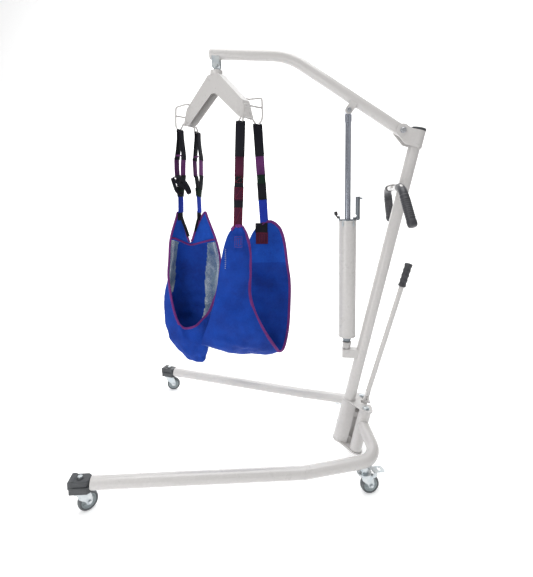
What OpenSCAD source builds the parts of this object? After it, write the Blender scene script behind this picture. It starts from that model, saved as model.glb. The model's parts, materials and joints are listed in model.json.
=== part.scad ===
// Patient lift hoist: hydraulic jack, spreading base on four castors, two-point
// cradle and a hanging body sling. Millimetres, +Z up, the legs open towards -Y.
// The part stands on its four tyres at Z = 0, with X = 0 on its mirror plane.

/* [Mast] */
// Distance of the mast's foot behind the middle of the hoist's footprint
foot_y = 336; // [300:1:370]
// Backward lean of the mast, in degrees
mast_lean = 12; // [8:1:14]
// Outside diameter of the mast, boom and leg tubes
tube_d = 50; // [45:1:55]
// Wall of the mast, boom and leg tubes
tube_wall = 2.5; // [2:0.5:4]
// Height of the mast's top end, measured along the mast
mast_top = 1490; // [1400:10:1550]

/* [Base socket] */
// Height of the socket's lower end along the mast
socket_low = 70; // [60:1:80]
// Height of the socket's upper end along the mast
socket_high = 262; // [240:1:280]
// Distance of each leg's pivot axis from the mirror plane
pivot_x = 56; // [54:1:62]
// Distance of the leg pivot axes behind the mast's axis
pivot_n = 67; // [64:1:72]
// Thickness of the socket's two pivot plates
plate_t = 6; // [5:1:8]

/* [Legs] */
// Distance of each leg's front end from the mirror plane, legs spread
leg_front_x = 484; // [460:1:500]
// Distance of the legs' front ends ahead of the mast's foot
leg_front_y = 930; // [880:5:960]
// Height of a leg tube's centre at the front castors
leg_z = 115; // [110:1:120]
// Angle that each leg turns in when the base is closed, in degrees
leg_swing = 12; // [10:1:12]

/* [Castors] */
// Diameter of the tyres
wheel_d = 75; // [70:1:80]
// Width of the tyres
wheel_w = 26; // [22:1:30]
// Distance of the wheel's axle from the castor's swivel axis
trail = 25; // [22:1:28]

/* [Boom] */
// Length of the boom from its pivot to the bend
boom_rear = 578; // [560:1:600]
// Length of the boom from the bend to its tip
boom_front = 344; // [320:1:360]
// Rise of the boom's rear part when fully raised, in degrees
boom_rise = 33.9; // [30:0.1:36]
// Rise of the boom's front part when fully raised, in degrees
tip_rise = 3.9; // [2:0.1:6]
// Angle that the boom comes down from its highest place, in degrees
boom_drop = 50; // [45:1:50]

/* [Jack] */
// Height of the ball joint at the jack's foot
jack_foot_z = 531; // [520:1:540]
// Outside diameter of the jack's shroud
shroud_d = 76; // [74:1:80]
// Length of the jack's shroud
shroud_h = 520; // [500:5:540]
// Diameter of the jack's ram
ram_d = 26; // [22:1:28]

/* [Base lever] */
// Height of the lever's tube above its pivot
lever_tube = 622; // [560:1:680]
// Backward lean of the lever from the mast, in degrees
lever_lean = 2.8; // [2:0.1:5]

/* [Cradle] */
// Angle of the cradle's arms from the X axis, in degrees
cradle_yaw = 60; // [0:5:90]
// Distance of each arm's tip from the swivel axis
arm_reach = 188; // [170:1:200]
// Width of the cradle's pressed channel
channel_w = 50; // [44:1:56]
// Distance of each strap hook from the arm's middle plane
hook_side = 45; // [42:1:50]

/* [Sling] */
// Thickness of the sling's fabric solids
cloth_t = 8; // [5:1:10]
// Width of the strap webbing
strap_w = 40; // [35:1:50]
// Angle that the sling's open side faces, in degrees from the X axis
sling_yaw = 7; // [0:1:15]

/* [Hidden] */
$fn = 48;

r = tube_d / 2;
slack = 0.05;              // radial running clearance of pins
gap = 1;                   // side clearance between moving parts

// ---- vectors --------------------------------------------------------------
function unit(v) = v / norm(v);
function side(v) = abs(v.z) < 0.9 * norm(v) ? unit(cross([0, 0, 1], v)) : unit(cross([1, 0, 0], v));
function turn(v, a) = [v.x * cos(a) - v.y * sin(a), v.x * sin(a) + v.y * cos(a), v.z];

// Places children with their X, Y and Z along three given directions at a point
module axes(p, x, y, z)
    multmatrix([[x.x, y.x, z.x, p.x], [x.y, y.y, z.y, p.y], [x.z, y.z, z.z, p.z], [0, 0, 0, 1]])
        children();

// A straight round bar or tube between two points
module bar(a, b, d, bore = 0) {
    z = unit(b - a);
    x = side(z);
    axes(a, x, cross(z, x), z) linear_extrude(norm(b - a)) ring2d(d, bore);
}

module ring2d(d, bore) {
    if (bore > 0) difference() { circle(d = d); circle(d = bore); }
    else circle(d = d);
}

// Length that a bend of radius R takes from each side of corner i of a path
function tangent(p, i, R) =
    i <= 0 || i >= len(p) - 1 ? 0 :
    let (u = unit(p[i] - p[i - 1]), w = unit(p[i + 1] - p[i]))
    R * tan(acos(min(1, u * w)) / 2);

// A tube or rod bent along a path, with one bend radius for each inner corner.
// Drawing a bend thins its wall by a hair, and each straight reaches a little into it.
thin = 0.04;
function overlap(p, i, R) = i <= 0 || i >= len(p) - 1 ? 0 : 0.15 * sqrt(R);
module bent(p, R, d, bore = 0) {
    for (i = [0 : len(p) - 2]) {
        u = unit(p[i + 1] - p[i]);
        a = p[i] + u * (tangent(p, i, R[i]) - overlap(p, i, R[i]));
        b = p[i + 1] - u * (tangent(p, i + 1, R[i + 1]) - overlap(p, i + 1, R[i + 1]));
        bar(a, b, d, bore);
    }
    for (i = [1 : len(p) - 2]) {
        u = unit(p[i] - p[i - 1]);
        w = unit(p[i + 1] - p[i]);
        n = unit(cross(u, w));
        inward = cross(n, u);
        start = p[i] - u * tangent(p, i, R[i]);
        axes(start + inward * R[i], -inward, u, n)
            rotate_extrude(angle = acos(min(1, u * w))) translate([R[i], 0])
                ring2d(d - thin, bore > 0 ? bore + thin : 0);
    }
}

// A flat slab that covers the points of one panel
module slab(points, t) {
    hull() for (q = points) translate(q) cube(t, center = true);
}

// ---- frames ---------------------------------------------------------------
module at_foot() { translate([0, foot_y, 0]) children(); }
// X across, Y behind the mast's axis, Z along the mast
module in_mast() { at_foot() rotate([-mast_lean, 0, 0]) children(); }
function on_mast(x, n, s) =
    [x, s * sin(mast_lean) + n * cos(mast_lean), s * cos(mast_lean) - n * sin(mast_lean)];

// Boom pivot, bend, tip and jack pin, ahead of and above the mast's foot
boom_o = on_mast(0, -66, 1474);
boom_d = [0, -cos(boom_rise), sin(boom_rise)];
boom_bend = boom_o + boom_d * boom_rear;
boom_tip = boom_bend + [0, -cos(tip_rise), sin(tip_rise)] * boom_front;
boom_n = [0, -sin(boom_rise), -cos(boom_rise)];   // square to the boom, downward
jack_pin = boom_o + boom_d * 234 + boom_n * 52;
jack_ball = [0, 37, jack_foot_z];
jack_dir = unit(jack_pin - jack_ball);
tip_pin = [0, boom_tip.y + 26, boom_tip.z - 55];

// ---- mast -----------------------------------------------------------------
module mast_tube() color("gainsboro") in_mast()
    translate([0, 0, socket_low + plate_t]) linear_extrude(mast_top - socket_low - plate_t)
        ring2d(tube_d, tube_d - 2 * tube_wall);

module mast_cap() color("black") in_mast() translate([0, 0, mast_top]) {
    cylinder(d = tube_d + 5, h = 4);
    translate([0, 0, 4]) cylinder(d1 = tube_d + 5, d2 = tube_d - 6, h = 3, $fn = 48);
}

// Side outline of the head bracket: across the mast, then along it
module head_outline() polygon([[0, 1416], [28, 1416], [28, 1489], [-30, 1489], [-66, 1500], [-92, 1474],
                               [-94, 1460], [-44, 1420]]);

// Two cheeks welded to the mast's head, which hold the boom between them
module head_bracket() color("gainsboro") in_mast() difference() {
    union() {
        intersection() {
            rotate([90, 0, 90]) translate([0, 0, -31]) linear_extrude(62) head_outline();
            union() {
                translate([-31, -100, 1400]) cube([62, 101, 110]);
                translate([0, 0, 1400]) cylinder(d = 62, h = 110);
            }
        }
        translate([-31, -66, 1474]) rotate([0, 90, 0]) cylinder(r = 27, h = 62);
    }
    translate([-26, -101, 1400]) cube([52, 101, 120]);
    translate([0, 0, 1400]) cylinder(d = tube_d, h = 120);
    translate([-40, -66, 1474]) rotate([0, 90, 0]) cylinder(d = 12, h = 80);
}

module boom_pivot_bolt() color("silver") in_mast() translate([0, -66, 1474]) rotate([0, 90, 0]) {
    translate([0, 0, -36]) cylinder(d = 12, h = 72);
    for (e = [-37, 31.02]) translate([0, 0, e]) cylinder(d = 20, h = 6);
}

// ---- base socket ----------------------------------------------------------
module base_socket() color("gainsboro") in_mast() {
    translate([0, 0, socket_low]) linear_extrude(socket_high - socket_low) difference() {
        union() {
            circle(d = tube_d + 9);
            translate([-r - 4.5, 0]) square([tube_d + 9, 30]);
        }
        circle(d = tube_d);
        translate([-r, 0]) square([tube_d, 40]);
    }
}

module plate_outline() difference() {
    union() {
        for (s = [-1, 1]) translate([s * pivot_x, pivot_n]) circle(r = 31);
        translate([-pivot_x, pivot_n - 31]) square([2 * pivot_x, 62]);
        polygon([[-29, -4], [29, -4], [pivot_x + 20, pivot_n - 22], [-pivot_x - 20, pivot_n - 22]]);
        circle(r = 29);
    }
    for (s = [-1, 1]) translate([s * pivot_x, pivot_n]) circle(d = 20);
}

module top_plate() color("gainsboro") in_mast() translate([0, 0, socket_high]) linear_extrude(plate_t)
    difference() {
        plate_outline();
        circle(d = tube_d);
        translate([-13, pivot_n - 14]) square([26, 52]);
    }

module bottom_plate() color("gainsboro") in_mast() translate([0, 0, socket_low - plate_t])
    linear_extrude(plate_t) plate_outline();

module leg_pins() color("silver") in_mast() for (s = [-1, 1]) translate([s * pivot_x, pivot_n, 0]) {
    translate([0, 0, socket_low - plate_t - 8]) cylinder(d = 20, h = socket_high - socket_low + 2 * plate_t + 16);
    translate([0, 0, socket_high + plate_t]) cylinder(d = 30, h = 8);
    translate([0, 0, socket_low - plate_t - 8]) cylinder(d = 30, h = 8);
}

lever_s = socket_high - 46;                // lever pivot, along the mast
pin_s = lever_s + 19.5;                    // pin that moves the legs' lugs
// Two cheeks on the socket's open back, with the lever's pivot across them
module lever_bracket() color("gainsboro") in_mast() {
    for (x = [-25, 20]) difference() {
        translate([x, 8, lever_s - 14]) cube([5, pivot_n + 4, 24]);
        translate([0, 0, 300 - 200]) cylinder(d = tube_d, h = 200);
        translate([x - 1, pivot_n, lever_s]) rotate([0, 90, 0]) cylinder(d = 10, h = 7);
    }
    translate([-28, pivot_n, lever_s]) rotate([0, 90, 0]) cylinder(d = 10, h = 56);
}

// Angle bracket on the mast's front that carries the jack's ball stud
module jack_foot_bracket() color("gainsboro") at_foot() difference() {
    union() {
        translate([-20, jack_ball.y - 20, 460]) cube([40, 90, 38]);
        translate([0, jack_ball.y, 498]) cylinder(d1 = 30, d2 = 16, h = 12, $fn = 48);
        translate([0, jack_ball.y, 498]) cylinder(d = 14, h = jack_foot_z - 498 - 9);
        translate(jack_ball) sphere(d = 24, $fn = 48);
    }
    rotate([-mast_lean, 0, 0]) translate([0, 0, 300]) cylinder(d = tube_d, h = 400);
    translate([-21, jack_ball.y + 70, 400]) cube([42, 60, 120]);
}

// ---- push handle ----------------------------------------------------------
handle_s = 1236;
handle_n = -39;
handle_end = [215, 22, 1098];
module push_handle() color("gainsboro") in_mast() {
    difference() {
        union() {
            bent([[-handle_end.x, handle_end.y, handle_end.z], [-150, handle_n, handle_s],
                  [150, handle_n, handle_s], handle_end], [0, 42, 42, 0], 25);
            translate([-20, handle_n - 4, handle_s - 11]) cube([40, 22, 22]);
        }
        translate([0, 0, handle_s - 60]) cylinder(d = tube_d, h = 120);
    }
    for (s = [-1, 1]) translate([s * 12, handle_n - 8, handle_s]) rotate([90, 0, 0]) cylinder(d = 12, h = 9);
}

module grip(s) in_mast() {
    top = [s * 150, handle_n, handle_s];
    end = [s * handle_end.x, handle_end.y, handle_end.z];
    u = unit(end - top);
    difference() {
        union() {
            bar(top + u * 34, end + u * 6, 37);
            for (k = [0 : 2]) bar(end - u * (12 + 9 * k), end - u * (8 + 9 * k), 39.5);
        }
        bar(top + u * 20, end, 25);
    }
}
module grip_right() color("black") grip(1);
module grip_left() color("black") grip(-1);

// ---- legs -----------------------------------------------------------------
leg_corner = [235, 148, 134];
leg_bend = [322, -142, leg_z - 3];
leg_end = [leg_front_x, -leg_front_y, leg_z];
leg_root = on_mast(pivot_x, pivot_n, 200);
leg_u = unit(leg_end - leg_bend);

module leg_tube() at_foot() difference() {
    bent([leg_root, leg_corner, leg_bend, leg_end], [0, 80, 240, 0], tube_d, tube_d - 2 * tube_wall);
    rotate([-mast_lean, 0, 0]) translate([pivot_x, pivot_n, 0]) cylinder(d = sleeve_d, h = 300);
}

sleeve_d = tube_d + 2;
module leg_sleeve() in_mast() {
    translate([pivot_x, pivot_n, socket_low + gap]) linear_extrude(socket_high - socket_low - 2 * gap)
        ring2d(sleeve_d, 20 + 2 * slack);
    // lug with a slot for the lever's pin
    difference() {
        union() {
            translate([15, pivot_n - 6, pin_s - 6]) cube([pivot_x - 24 - 15, 12, 12]);
            translate([13, pivot_n - 12, pin_s - 10]) cube([4, 24, 20]);
        }
        translate([8, pivot_n - 4.7, pin_s - 7]) cube([11, 9.4, 12]);
    }
}

// Moulded cap over the leg's front end, carrying the front castor
cap_l = 84;
module end_cap() at_foot() {
    z = [0, 0, 1];
    y = -leg_u;
    x = cross(y, z);
    start = leg_end - leg_u * 6;
    difference() {
        axes([start.x, start.y, leg_z], unit(x), unit([y.x, y.y, 0]), z) translate([-31, -cap_l, -25]) union() {
            linear_extrude(26) cap_outline(62, cap_l, 8);
            linear_extrude(44) translate([6, 10]) cap_outline(50, cap_l - 10, 8);
            translate([31, 40, 44]) cylinder(d = 26, h = 5);
        }
        bar(leg_bend, leg_end, tube_d);
    }
}
module cap_outline(w, l, c) union() {
    translate([c, 0]) square([w - 2 * c, l]);
    translate([0, c]) square([w, l - c]);
    for (x = [c, w - c]) translate([x, c]) circle(r = c);
}

// Swivel axes of the castors, on the floor
front_stem = [leg_end.x, leg_end.y, 0] + unit([leg_u.x, leg_u.y, 0]) * 40;
rear_stem = [254, 92, 0];
front_top = leg_z - 25;
rear_top = 104;
plate_low = 86;            // underside of every castor's top plate

module castor_plate(stem, top) at_foot() translate(stem) {
    translate([0, 0, plate_low]) cylinder(d = 58, h = 4);
    if (top > plate_low + 4) translate([0, 0, plate_low + 4]) cylinder(d = 34, h = top - plate_low - 3);
    translate([0, 0, 72]) cylinder(d = 12, h = plate_low - 72);
}
module front_plate() castor_plate(front_stem, front_top);
module rear_plate() difference() {
    castor_plate(rear_stem, rear_top + 14);
    leg_bore();
}
module leg_bore() at_foot()
    bent([leg_root, leg_corner, leg_bend, leg_end], [0, 80, 240, 0], tube_d);

module leg_tube_right() color("gainsboro") leg_tube();
module leg_sleeve_right() color("lightgray") leg_sleeve();
module end_cap_right() color("black") end_cap();
module front_plate_right() color("silver") front_plate();
module rear_plate_right() color("silver") rear_plate();
module leg_tube_left() color("gainsboro") mirror([1, 0, 0]) leg_tube();
module leg_sleeve_left() color("lightgray") mirror([1, 0, 0]) leg_sleeve();
module end_cap_left() color("black") mirror([1, 0, 0]) end_cap();
module front_plate_left() color("silver") mirror([1, 0, 0]) front_plate();
module rear_plate_left() color("silver") mirror([1, 0, 0]) rear_plate();

// ---- castors --------------------------------------------------------------
axle_z = wheel_d / 2;
cheek_t = 2.5;
cheek_in = wheel_w / 2 + 2.5;       // inside face of each fork cheek
yaw_fr = 52;
yaw_fl = 15;
yaw_rr = 20;
yaw_rl = 150;

module at_castor(stem, yaw) at_foot() translate(stem) rotate([0, 0, yaw]) children();
function mirrored(p) = [-p.x, p.y, p.z];

// Fork: ball race, crown and two cheeks, with the axle fixed across them
module fork() {
    difference() {
        union() {
            translate([0, 0, 80]) cylinder(d = 46, h = plate_low - 80.5);
            translate([-cheek_in - cheek_t, -20, 77]) cube([2 * (cheek_in + cheek_t), 44, 3.01]);
            for (s = [-1, 1]) translate([s > 0 ? cheek_in : -cheek_in - cheek_t, 0, 0]) rotate([90, 0, 90])
                linear_extrude(cheek_t) union() {
                    polygon([[-20, 80], [24, 80], [trail + 11, axle_z + 2], [trail - 11, axle_z - 2]]);
                    translate([trail, axle_z]) circle(r = 11);
                }
        }
        translate([0, 0, 60]) cylinder(d = 12 + 2 * slack, h = 40);
    }
    translate([-cheek_in - cheek_t - 4, trail, axle_z]) rotate([0, 90, 0])
        cylinder(d = 8, h = 2 * (cheek_in + cheek_t + 4));
    for (e = [-cheek_in - cheek_t - 5, cheek_in + cheek_t]) translate([e, trail, axle_z]) rotate([0, 90, 0])
        cylinder(d = 15, h = 5);
}

module hub() translate([0, trail, axle_z]) rotate([0, 90, 0]) {
    difference() {
        union() {
            translate([0, 0, -wheel_w / 2 + 3]) cylinder(d = 56, h = wheel_w - 6);
            translate([0, 0, -wheel_w / 2 - 1]) cylinder(d = 22, h = wheel_w + 2);
        }
        translate([0, 0, -20]) cylinder(d = 8 + 2 * slack, h = 40);
    }
}

module tyre() translate([0, trail, axle_z]) rotate([0, 90, 0]) rotate_extrude($fn = 72)
    difference() {
        polygon([[28, -wheel_w / 2], [32, -wheel_w / 2], [36, -wheel_w / 2 + 3], [axle_z, -wheel_w / 2 + 7],
                 [axle_z, wheel_w / 2 - 7], [36, wheel_w / 2 - 3], [32, wheel_w / 2], [28, wheel_w / 2]]);
    }

// Brake pedal: bent plate behind the crown, on a pin through two ears
pedal_pin = [32, 82];
module pedal() {
    difference() {
        translate([-18, 44, 90]) cube([36, 40, 3]);
        translate([-11, 60, 80]) cube([22, 14, 20]);
    }
    translate([-23.5, 36, 90]) cube([47, 12, 3]);
    for (s = [-1, 1]) difference() {
        translate([s > 0 ? 20.5 : -23.5, 27, 73]) cube([3, 24, 17.5]);
        translate([-30, pedal_pin[0], pedal_pin[1]]) rotate([0, 90, 0]) cylinder(d = 4 + 2 * slack, h = 60);
    }
}

module rear_fork() difference() {
    union() {
        fork();
        for (s = [-1, 1]) translate([s > 0 ? cheek_in + cheek_t : -cheek_in - cheek_t - 2, 22, 76]) cube([2, 16, 9.5]);
        for (s = [-1, 1]) translate([s > 0 ? cheek_in : -cheek_in - 9, pedal_pin[0], pedal_pin[1]])
            rotate([0, 90, 0]) cylinder(d = 4, h = 9);
    }
}

module fork_front_right() color("silver") at_castor(front_stem, yaw_fr) fork();
module hub_front_right() color("lightgray") at_castor(front_stem, yaw_fr) hub();
module tyre_front_right() color("dimgray") at_castor(front_stem, yaw_fr) tyre();
module fork_front_left() color("silver") at_castor(mirrored(front_stem), yaw_fl) fork();
module hub_front_left() color("lightgray") at_castor(mirrored(front_stem), yaw_fl) hub();
module tyre_front_left() color("dimgray") at_castor(mirrored(front_stem), yaw_fl) tyre();
module fork_rear_right() color("silver") at_castor(rear_stem, yaw_rr) rear_fork();
module hub_rear_right() color("lightgray") at_castor(rear_stem, yaw_rr) hub();
module tyre_rear_right() color("dimgray") at_castor(rear_stem, yaw_rr) tyre();
module pedal_right() color("slategray") at_castor(rear_stem, yaw_rr) pedal();
module fork_rear_left() color("silver") at_castor(mirrored(rear_stem), yaw_rl) rear_fork();
module hub_rear_left() color("lightgray") at_castor(mirrored(rear_stem), yaw_rl) hub();
module tyre_rear_left() color("dimgray") at_castor(mirrored(rear_stem), yaw_rl) tyre();
module pedal_left() color("slategray") at_castor(mirrored(rear_stem), yaw_rl) pedal();

// ---- base lever -----------------------------------------------------------
module in_lever() in_mast() translate([0, pivot_n, lever_s]) rotate([-lever_lean, 0, 0]) children();

crank_top = 108;
module lever_crank() color("gainsboro") {
    difference() {
        union() {
            in_lever() {
                translate([-11, 0, 0]) rotate([0, 90, 0]) cylinder(d = 24, h = 22);
                translate([-11, -9, 0]) cube([22, 18, crank_top]);
            }
            in_mast() translate([-18.5, pivot_n, pin_s]) rotate([0, 90, 0]) cylinder(d = 8, h = 37);
        }
        in_mast() translate([-20, pivot_n, lever_s]) rotate([0, 90, 0]) cylinder(d = 10 + 2 * slack, h = 40);
        in_lever() for (z = [70, 88]) translate([-20, 0, z]) rotate([0, 90, 0]) linear_extrude(40) union() {
            for (e = [-4, 4]) translate([e, 0]) circle(d = 7);
            translate([-4, -3.5]) square([8, 7]);
        }
    }
}

module lever_tube_node() color("gainsboro") in_lever()
    translate([0, 0, crank_top]) linear_extrude(lever_tube - crank_top) ring2d(22, 18);

module lever_grip() color("black") in_lever() difference() {
    union() {
        translate([0, 0, lever_tube - 10]) cylinder(d = 30, h = 96);
        translate([0, 0, lever_tube + 86]) cylinder(d1 = 30, d2 = 20, h = 8, $fn = 48);
        for (k = [0 : 3]) translate([0, 0, lever_tube - 8 + 24 * k]) cylinder(d = 34, h = 6);
    }
    translate([0, 0, lever_tube - 11]) cylinder(d = 22, h = 11);
}

// ---- boom -----------------------------------------------------------------
module boom_tube() color("gainsboro") at_foot() difference() {
    union() {
        bent([boom_o - boom_d * 18, boom_bend, boom_tip], [0, 260, 0], tube_d, tube_d - 2 * tube_wall);
        translate(boom_o + [-r - 0.5, 0, 0]) rotate([0, 90, 0]) cylinder(d = 22, h = tube_d + 1);
    }
    translate(boom_o + [-r - 1, 0, 0]) rotate([0, 90, 0]) cylinder(d = 12 + 2 * slack, h = tube_d + 2);
}

// Two plates under the boom with the ram's pin between them
module boom_jack_bracket() color("gainsboro") at_foot() {
    difference() {
        for (s = [-1, 1]) jack_plate(s);
        bar(boom_o - boom_d * 40, boom_bend, tube_d);
    }
    translate(jack_pin + [-24, 0, 0]) rotate([0, 90, 0]) cylinder(d = 12, h = 48);
    for (e = [-29, 24]) translate(jack_pin + [e, 0, 0]) rotate([0, 90, 0]) cylinder(d = 19, h = 5);
}
module jack_plate(s) axes(jack_pin + [s > 0 ? 19 : -24, 0, 0], boom_d, -boom_n, [1, 0, 0]) linear_extrude(5) difference() {
    union() {
        circle(d = 32);
        translate([-16, 0]) square([32, 40]);
    }
    circle(d = 12);
}

module boom_tip_bracket() color("silver") at_foot() {
    difference() {
        for (s = [-1, 1]) translate([s > 0 ? 17 : -21, tip_pin.y, tip_pin.z]) rotate([90, 0, 90]) linear_extrude(4)
            difference() {
                union() { circle(d = 34); translate([-17, 0]) square([34, 40]); }
                circle(d = 12);
            }
        bar(boom_bend, boom_tip + unit(boom_tip - boom_bend) * 40, tube_d);
    }
    translate(tip_pin + [-22, 0, 0]) rotate([0, 90, 0]) cylinder(d = 12, h = 44);
    for (e = [-27, 21]) translate(tip_pin + [e, 0, 0]) rotate([0, 90, 0]) cylinder(d = 20, h = 6);
}

// ---- jack -----------------------------------------------------------------
jack_side = cross(jack_dir, [1, 0, 0]);
module in_jack() at_foot() axes(jack_ball, [1, 0, 0], jack_side, jack_dir) children();
shroud_low = 24;
shroud_top = shroud_low + shroud_h;
ram_play = [18, 14];        // room ahead of and behind the ram in the jack's head

module jack_shroud() color("gainsboro") in_jack() {
    translate([0, 0, shroud_low]) linear_extrude(shroud_h) ring2d(shroud_d, shroud_d - 5);
}

module jack_foot_eye() color("silver") in_jack() difference() {
    union() {
        translate([0, 0, shroud_low]) cylinder(d = shroud_d - 5, h = 6);
        translate([0, 0, 0]) cylinder(d1 = 30, d2 = 44, h = shroud_low, $fn = 48);
    }
    sphere(d = 24 + 2 * slack, $fn = 48);
    translate([0, 0, -30]) cylinder(d = 22, h = 30);
}

// Pump body inside the shroud and the valve plate that closes its top
module jack_pump() color("silver") in_jack() difference() {
    union() {
        translate([0, 0, shroud_low + 6]) cylinder(d = shroud_d - 5, h = 110);
        translate([0, 0, shroud_top]) cylinder(d = shroud_d - 2, h = 5);
        translate([-11, 24, shroud_top - 30]) cube([22, 9.5, 44]);
        translate([-6, -37.5, shroud_top]) cube([12, 5, 18]);
    }
    translate([0, 0, shroud_top - 40]) linear_extrude(80) ram_slot();
    // room for the lever socket's barrel to turn
    translate([-14, 43, shroud_top + 10]) rotate([0, 90, 0]) cylinder(d = 18.8, h = 28);
}
module ram_slot() union() {
    w = ram_d + 2;
    translate([0, -ram_play[0]]) circle(d = w);
    translate([0, ram_play[1]]) circle(d = w);
    translate([-w / 2, -ram_play[0]]) square([w, ram_play[0] + ram_play[1]]);
}

// Socket that takes the pump's hand lever, on a cross pin
module pump_lever_socket() color("dimgray") in_jack() translate([0, 0, shroud_top]) difference() {
    union() {
        translate([0, 43, 8]) cylinder(d = 20, h = 96);
        translate([-13, 43, 10]) rotate([0, 90, 0]) cylinder(d = 18, h = 26);
        translate([0, 43, 96]) rotate([-90, 0, 0]) cylinder(d = 8, h = 20);
    }
    translate([0, 43, 24]) cylinder(d = 14, h = 90);
    translate([-11.5, 30, -5]) cube([23, 8, 30]);
}

module release_knob() color("black") in_jack() translate([0, 0, shroud_top]) {
    translate([0, -38, 14]) rotate([90, 0, 0]) cylinder(d = 7, h = 12);
    translate([0, -47, 10]) rotate([90, 0, 0]) cylinder(d = 14, h = 11);
}

ram_len = 560;
module jack_ram() color("slategray") {
    difference() {
        union() {
            at_foot() axes(jack_pin - jack_dir * ram_len, [1, 0, 0], jack_side, jack_dir) {
                cylinder(d = ram_d, h = ram_len - 14);
                cylinder(d = ram_d + 6, h = 14);
                translate([0, 0, ram_len - 46]) cylinder(d = ram_d + 4, h = 30);
            }
            at_foot() translate(jack_pin + [-18, 0, 0]) rotate([0, 90, 0]) cylinder(d = 30, h = 36);
        }
        at_foot() translate(jack_pin + [-30, 0, 0]) rotate([0, 90, 0]) cylinder(d = 12 + 2 * slack, h = 60);
    }
}

// ---- cradle ---------------------------------------------------------------
module in_cradle() at_foot() translate([0, tip_pin.y, tip_pin.z]) rotate([0, 0, cradle_yaw]) children();
// Heights below the tip's pin
collar_z = -38;
arm_z = -165;

module swivel_link() color("silver") at_foot() difference() {
    union() {
        translate(tip_pin + [-16, 0, 0]) rotate([0, 90, 0]) cylinder(d = 28, h = 32);
        translate(tip_pin + [0, 0, -18]) cylinder(d = 24, h = 10);
        translate(tip_pin + [0, 0, -58]) cylinder(d = 14, h = 48);
        translate(tip_pin + [0, 0, -58]) cylinder(d = 26, h = 8);
    }
    translate(tip_pin + [-20, 0, 0]) rotate([0, 90, 0]) cylinder(d = 12 + 2 * slack, h = 40);
}

// Side outline of the pressed inverted-V channel
module arm_outline(t) polygon([
    [-30, -38 - t], [30, -38 - t], [arm_reach - 22 - t / 2, -168 - t], [arm_reach - t, -240 + 2 * t],
    [arm_reach - 14 - t, -246], [arm_reach - 42, -234], [12, -120], [-12, -120],
    [-arm_reach + 42, -234], [-arm_reach + 14 + t, -246], [-arm_reach + t, -240 + 2 * t],
    [-arm_reach + 22 + t / 2, -168 - t]]);

module spreader() color("gainsboro") in_cradle() difference() {
    union() {
        rotate([90, 0, 0]) translate([0, 0, -channel_w / 2]) linear_extrude(channel_w) arm_outline(0);
        translate([0, 0, -38]) cylinder(d = 56, h = 18);
    }
    difference() {
        rotate([90, 0, 0]) translate([0, 0, -channel_w / 2 + 3]) linear_extrude(channel_w - 6) arm_cavity();
        translate([0, 0, -48]) cylinder(d = 40, h = 20);
    }
    translate([0, 0, -100]) cylinder(d = 14 + 2 * slack, h = 90);
    translate([0, 0, -70]) cylinder(d = 28, h = 22);
}
module arm_cavity() polygon([
    [-29, -41], [29, -41], [arm_reach - 25, -170], [arm_reach - 4, -238], [arm_reach - 4, -260],
    [arm_reach - 60, -260], [8, -130], [-8, -130], [-arm_reach + 60, -260],
    [-arm_reach + 4, -260], [-arm_reach + 4, -238], [-arm_reach + 25, -170]]);

// Wire hooks of one arm: a closed loop on one side and an open hook on the other
wire_d = 6.5;
module hook_wires() {
    x = arm_reach;
    y = hook_side;
    bent([[x - 46, y - 20 + wire_d / 2, -150], [x - 44, y, -152], [x + 26, y, -158], [x + 30, y, -240],
          [x + 4, y, -268], [x - 22, y, -236], [x - 26, y - 20 + wire_d / 2, -232]],
         [0, 6, 20, 16, 8, 8, 0], wire_d, $fn = 20);
    bent([[x + 28, y, -196], [x + 13, -y - 8, -198], [x + 4, -y - 8, -262],
          [x - 24, -y, -264], [x - 26, -y + 20 - wire_d / 2, -238]],
         [0, 14, 9, 9, 0], wire_d, $fn = 20);
}
module hook_wire_near() color("silver") in_cradle() hook_wires();
module hook_wire_far() color("silver") in_cradle() rotate([0, 0, 180]) hook_wires();

// ---- sling ----------------------------------------------------------------
// X across the sling's face, Y away from its open side, Z above the floor
module in_sling() at_foot() translate([0, tip_pin.y, 0]) rotate([0, 0, 90 + sling_yaw]) children();

module sling_back() color("royalblue") in_sling() {
    slab([[-265, 80, 820], [-272, 120, 640], [-205, 110, 1095], [-180, 120, 1000], [-150, 150, 420], [-150, 150, 800]], cloth_t);
    slab([[-180, 120, 1000], [-150, 150, 800], [-110, 150, 800], [-150, 150, 420], [-100, 150, 420], [-100, 120, 1000]], cloth_t);
    slab([[-100, 120, 1000], [-60, 110, 1095], [-110, 150, 800], [-4, 60, 960], [-4, 60, 720], [-100, 150, 420]], cloth_t);
    slab([[-272, 120, 640], [-150, 150, 420], [-150, 40, 372], [-220, 40, 500]], cloth_t);
    slab([[-100, 150, 420], [-150, 150, 420], [-150, 40, 372], [-60, 20, 380]], cloth_t);
    slab([[-4, 60, 720], [-100, 150, 420], [-60, 20, 380], [-20, 10, 520]], cloth_t);
}

module sling_legs() color("mediumblue") in_sling() {
    slab([[103, -148, 1040], [50, -150, 980], [150, -150, 980], [10, -155, 740], [160, -155, 740], [-34, -140, 540], [200, -140, 600]], cloth_t);
    slab([[-34, -140, 540], [200, -140, 600], [0, -100, 470], [250, -100, 490]], cloth_t);
    slab([[0, -100, 470], [250, -100, 490], [60, 10, 455], [300, -10, 455]], cloth_t);
    slab([[160, 25, 1010], [235, 25, 1055], [300, 25, 990], [110, 20, 700], [335, 20, 700], [60, 10, 455], [320, -10, 470]], cloth_t);
}

// A strap of webbing between two points, its flat side facing along w
module strap(a, b, w) hull() for (q = [a, b]) translate(q) cube(w, center = true);

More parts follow.
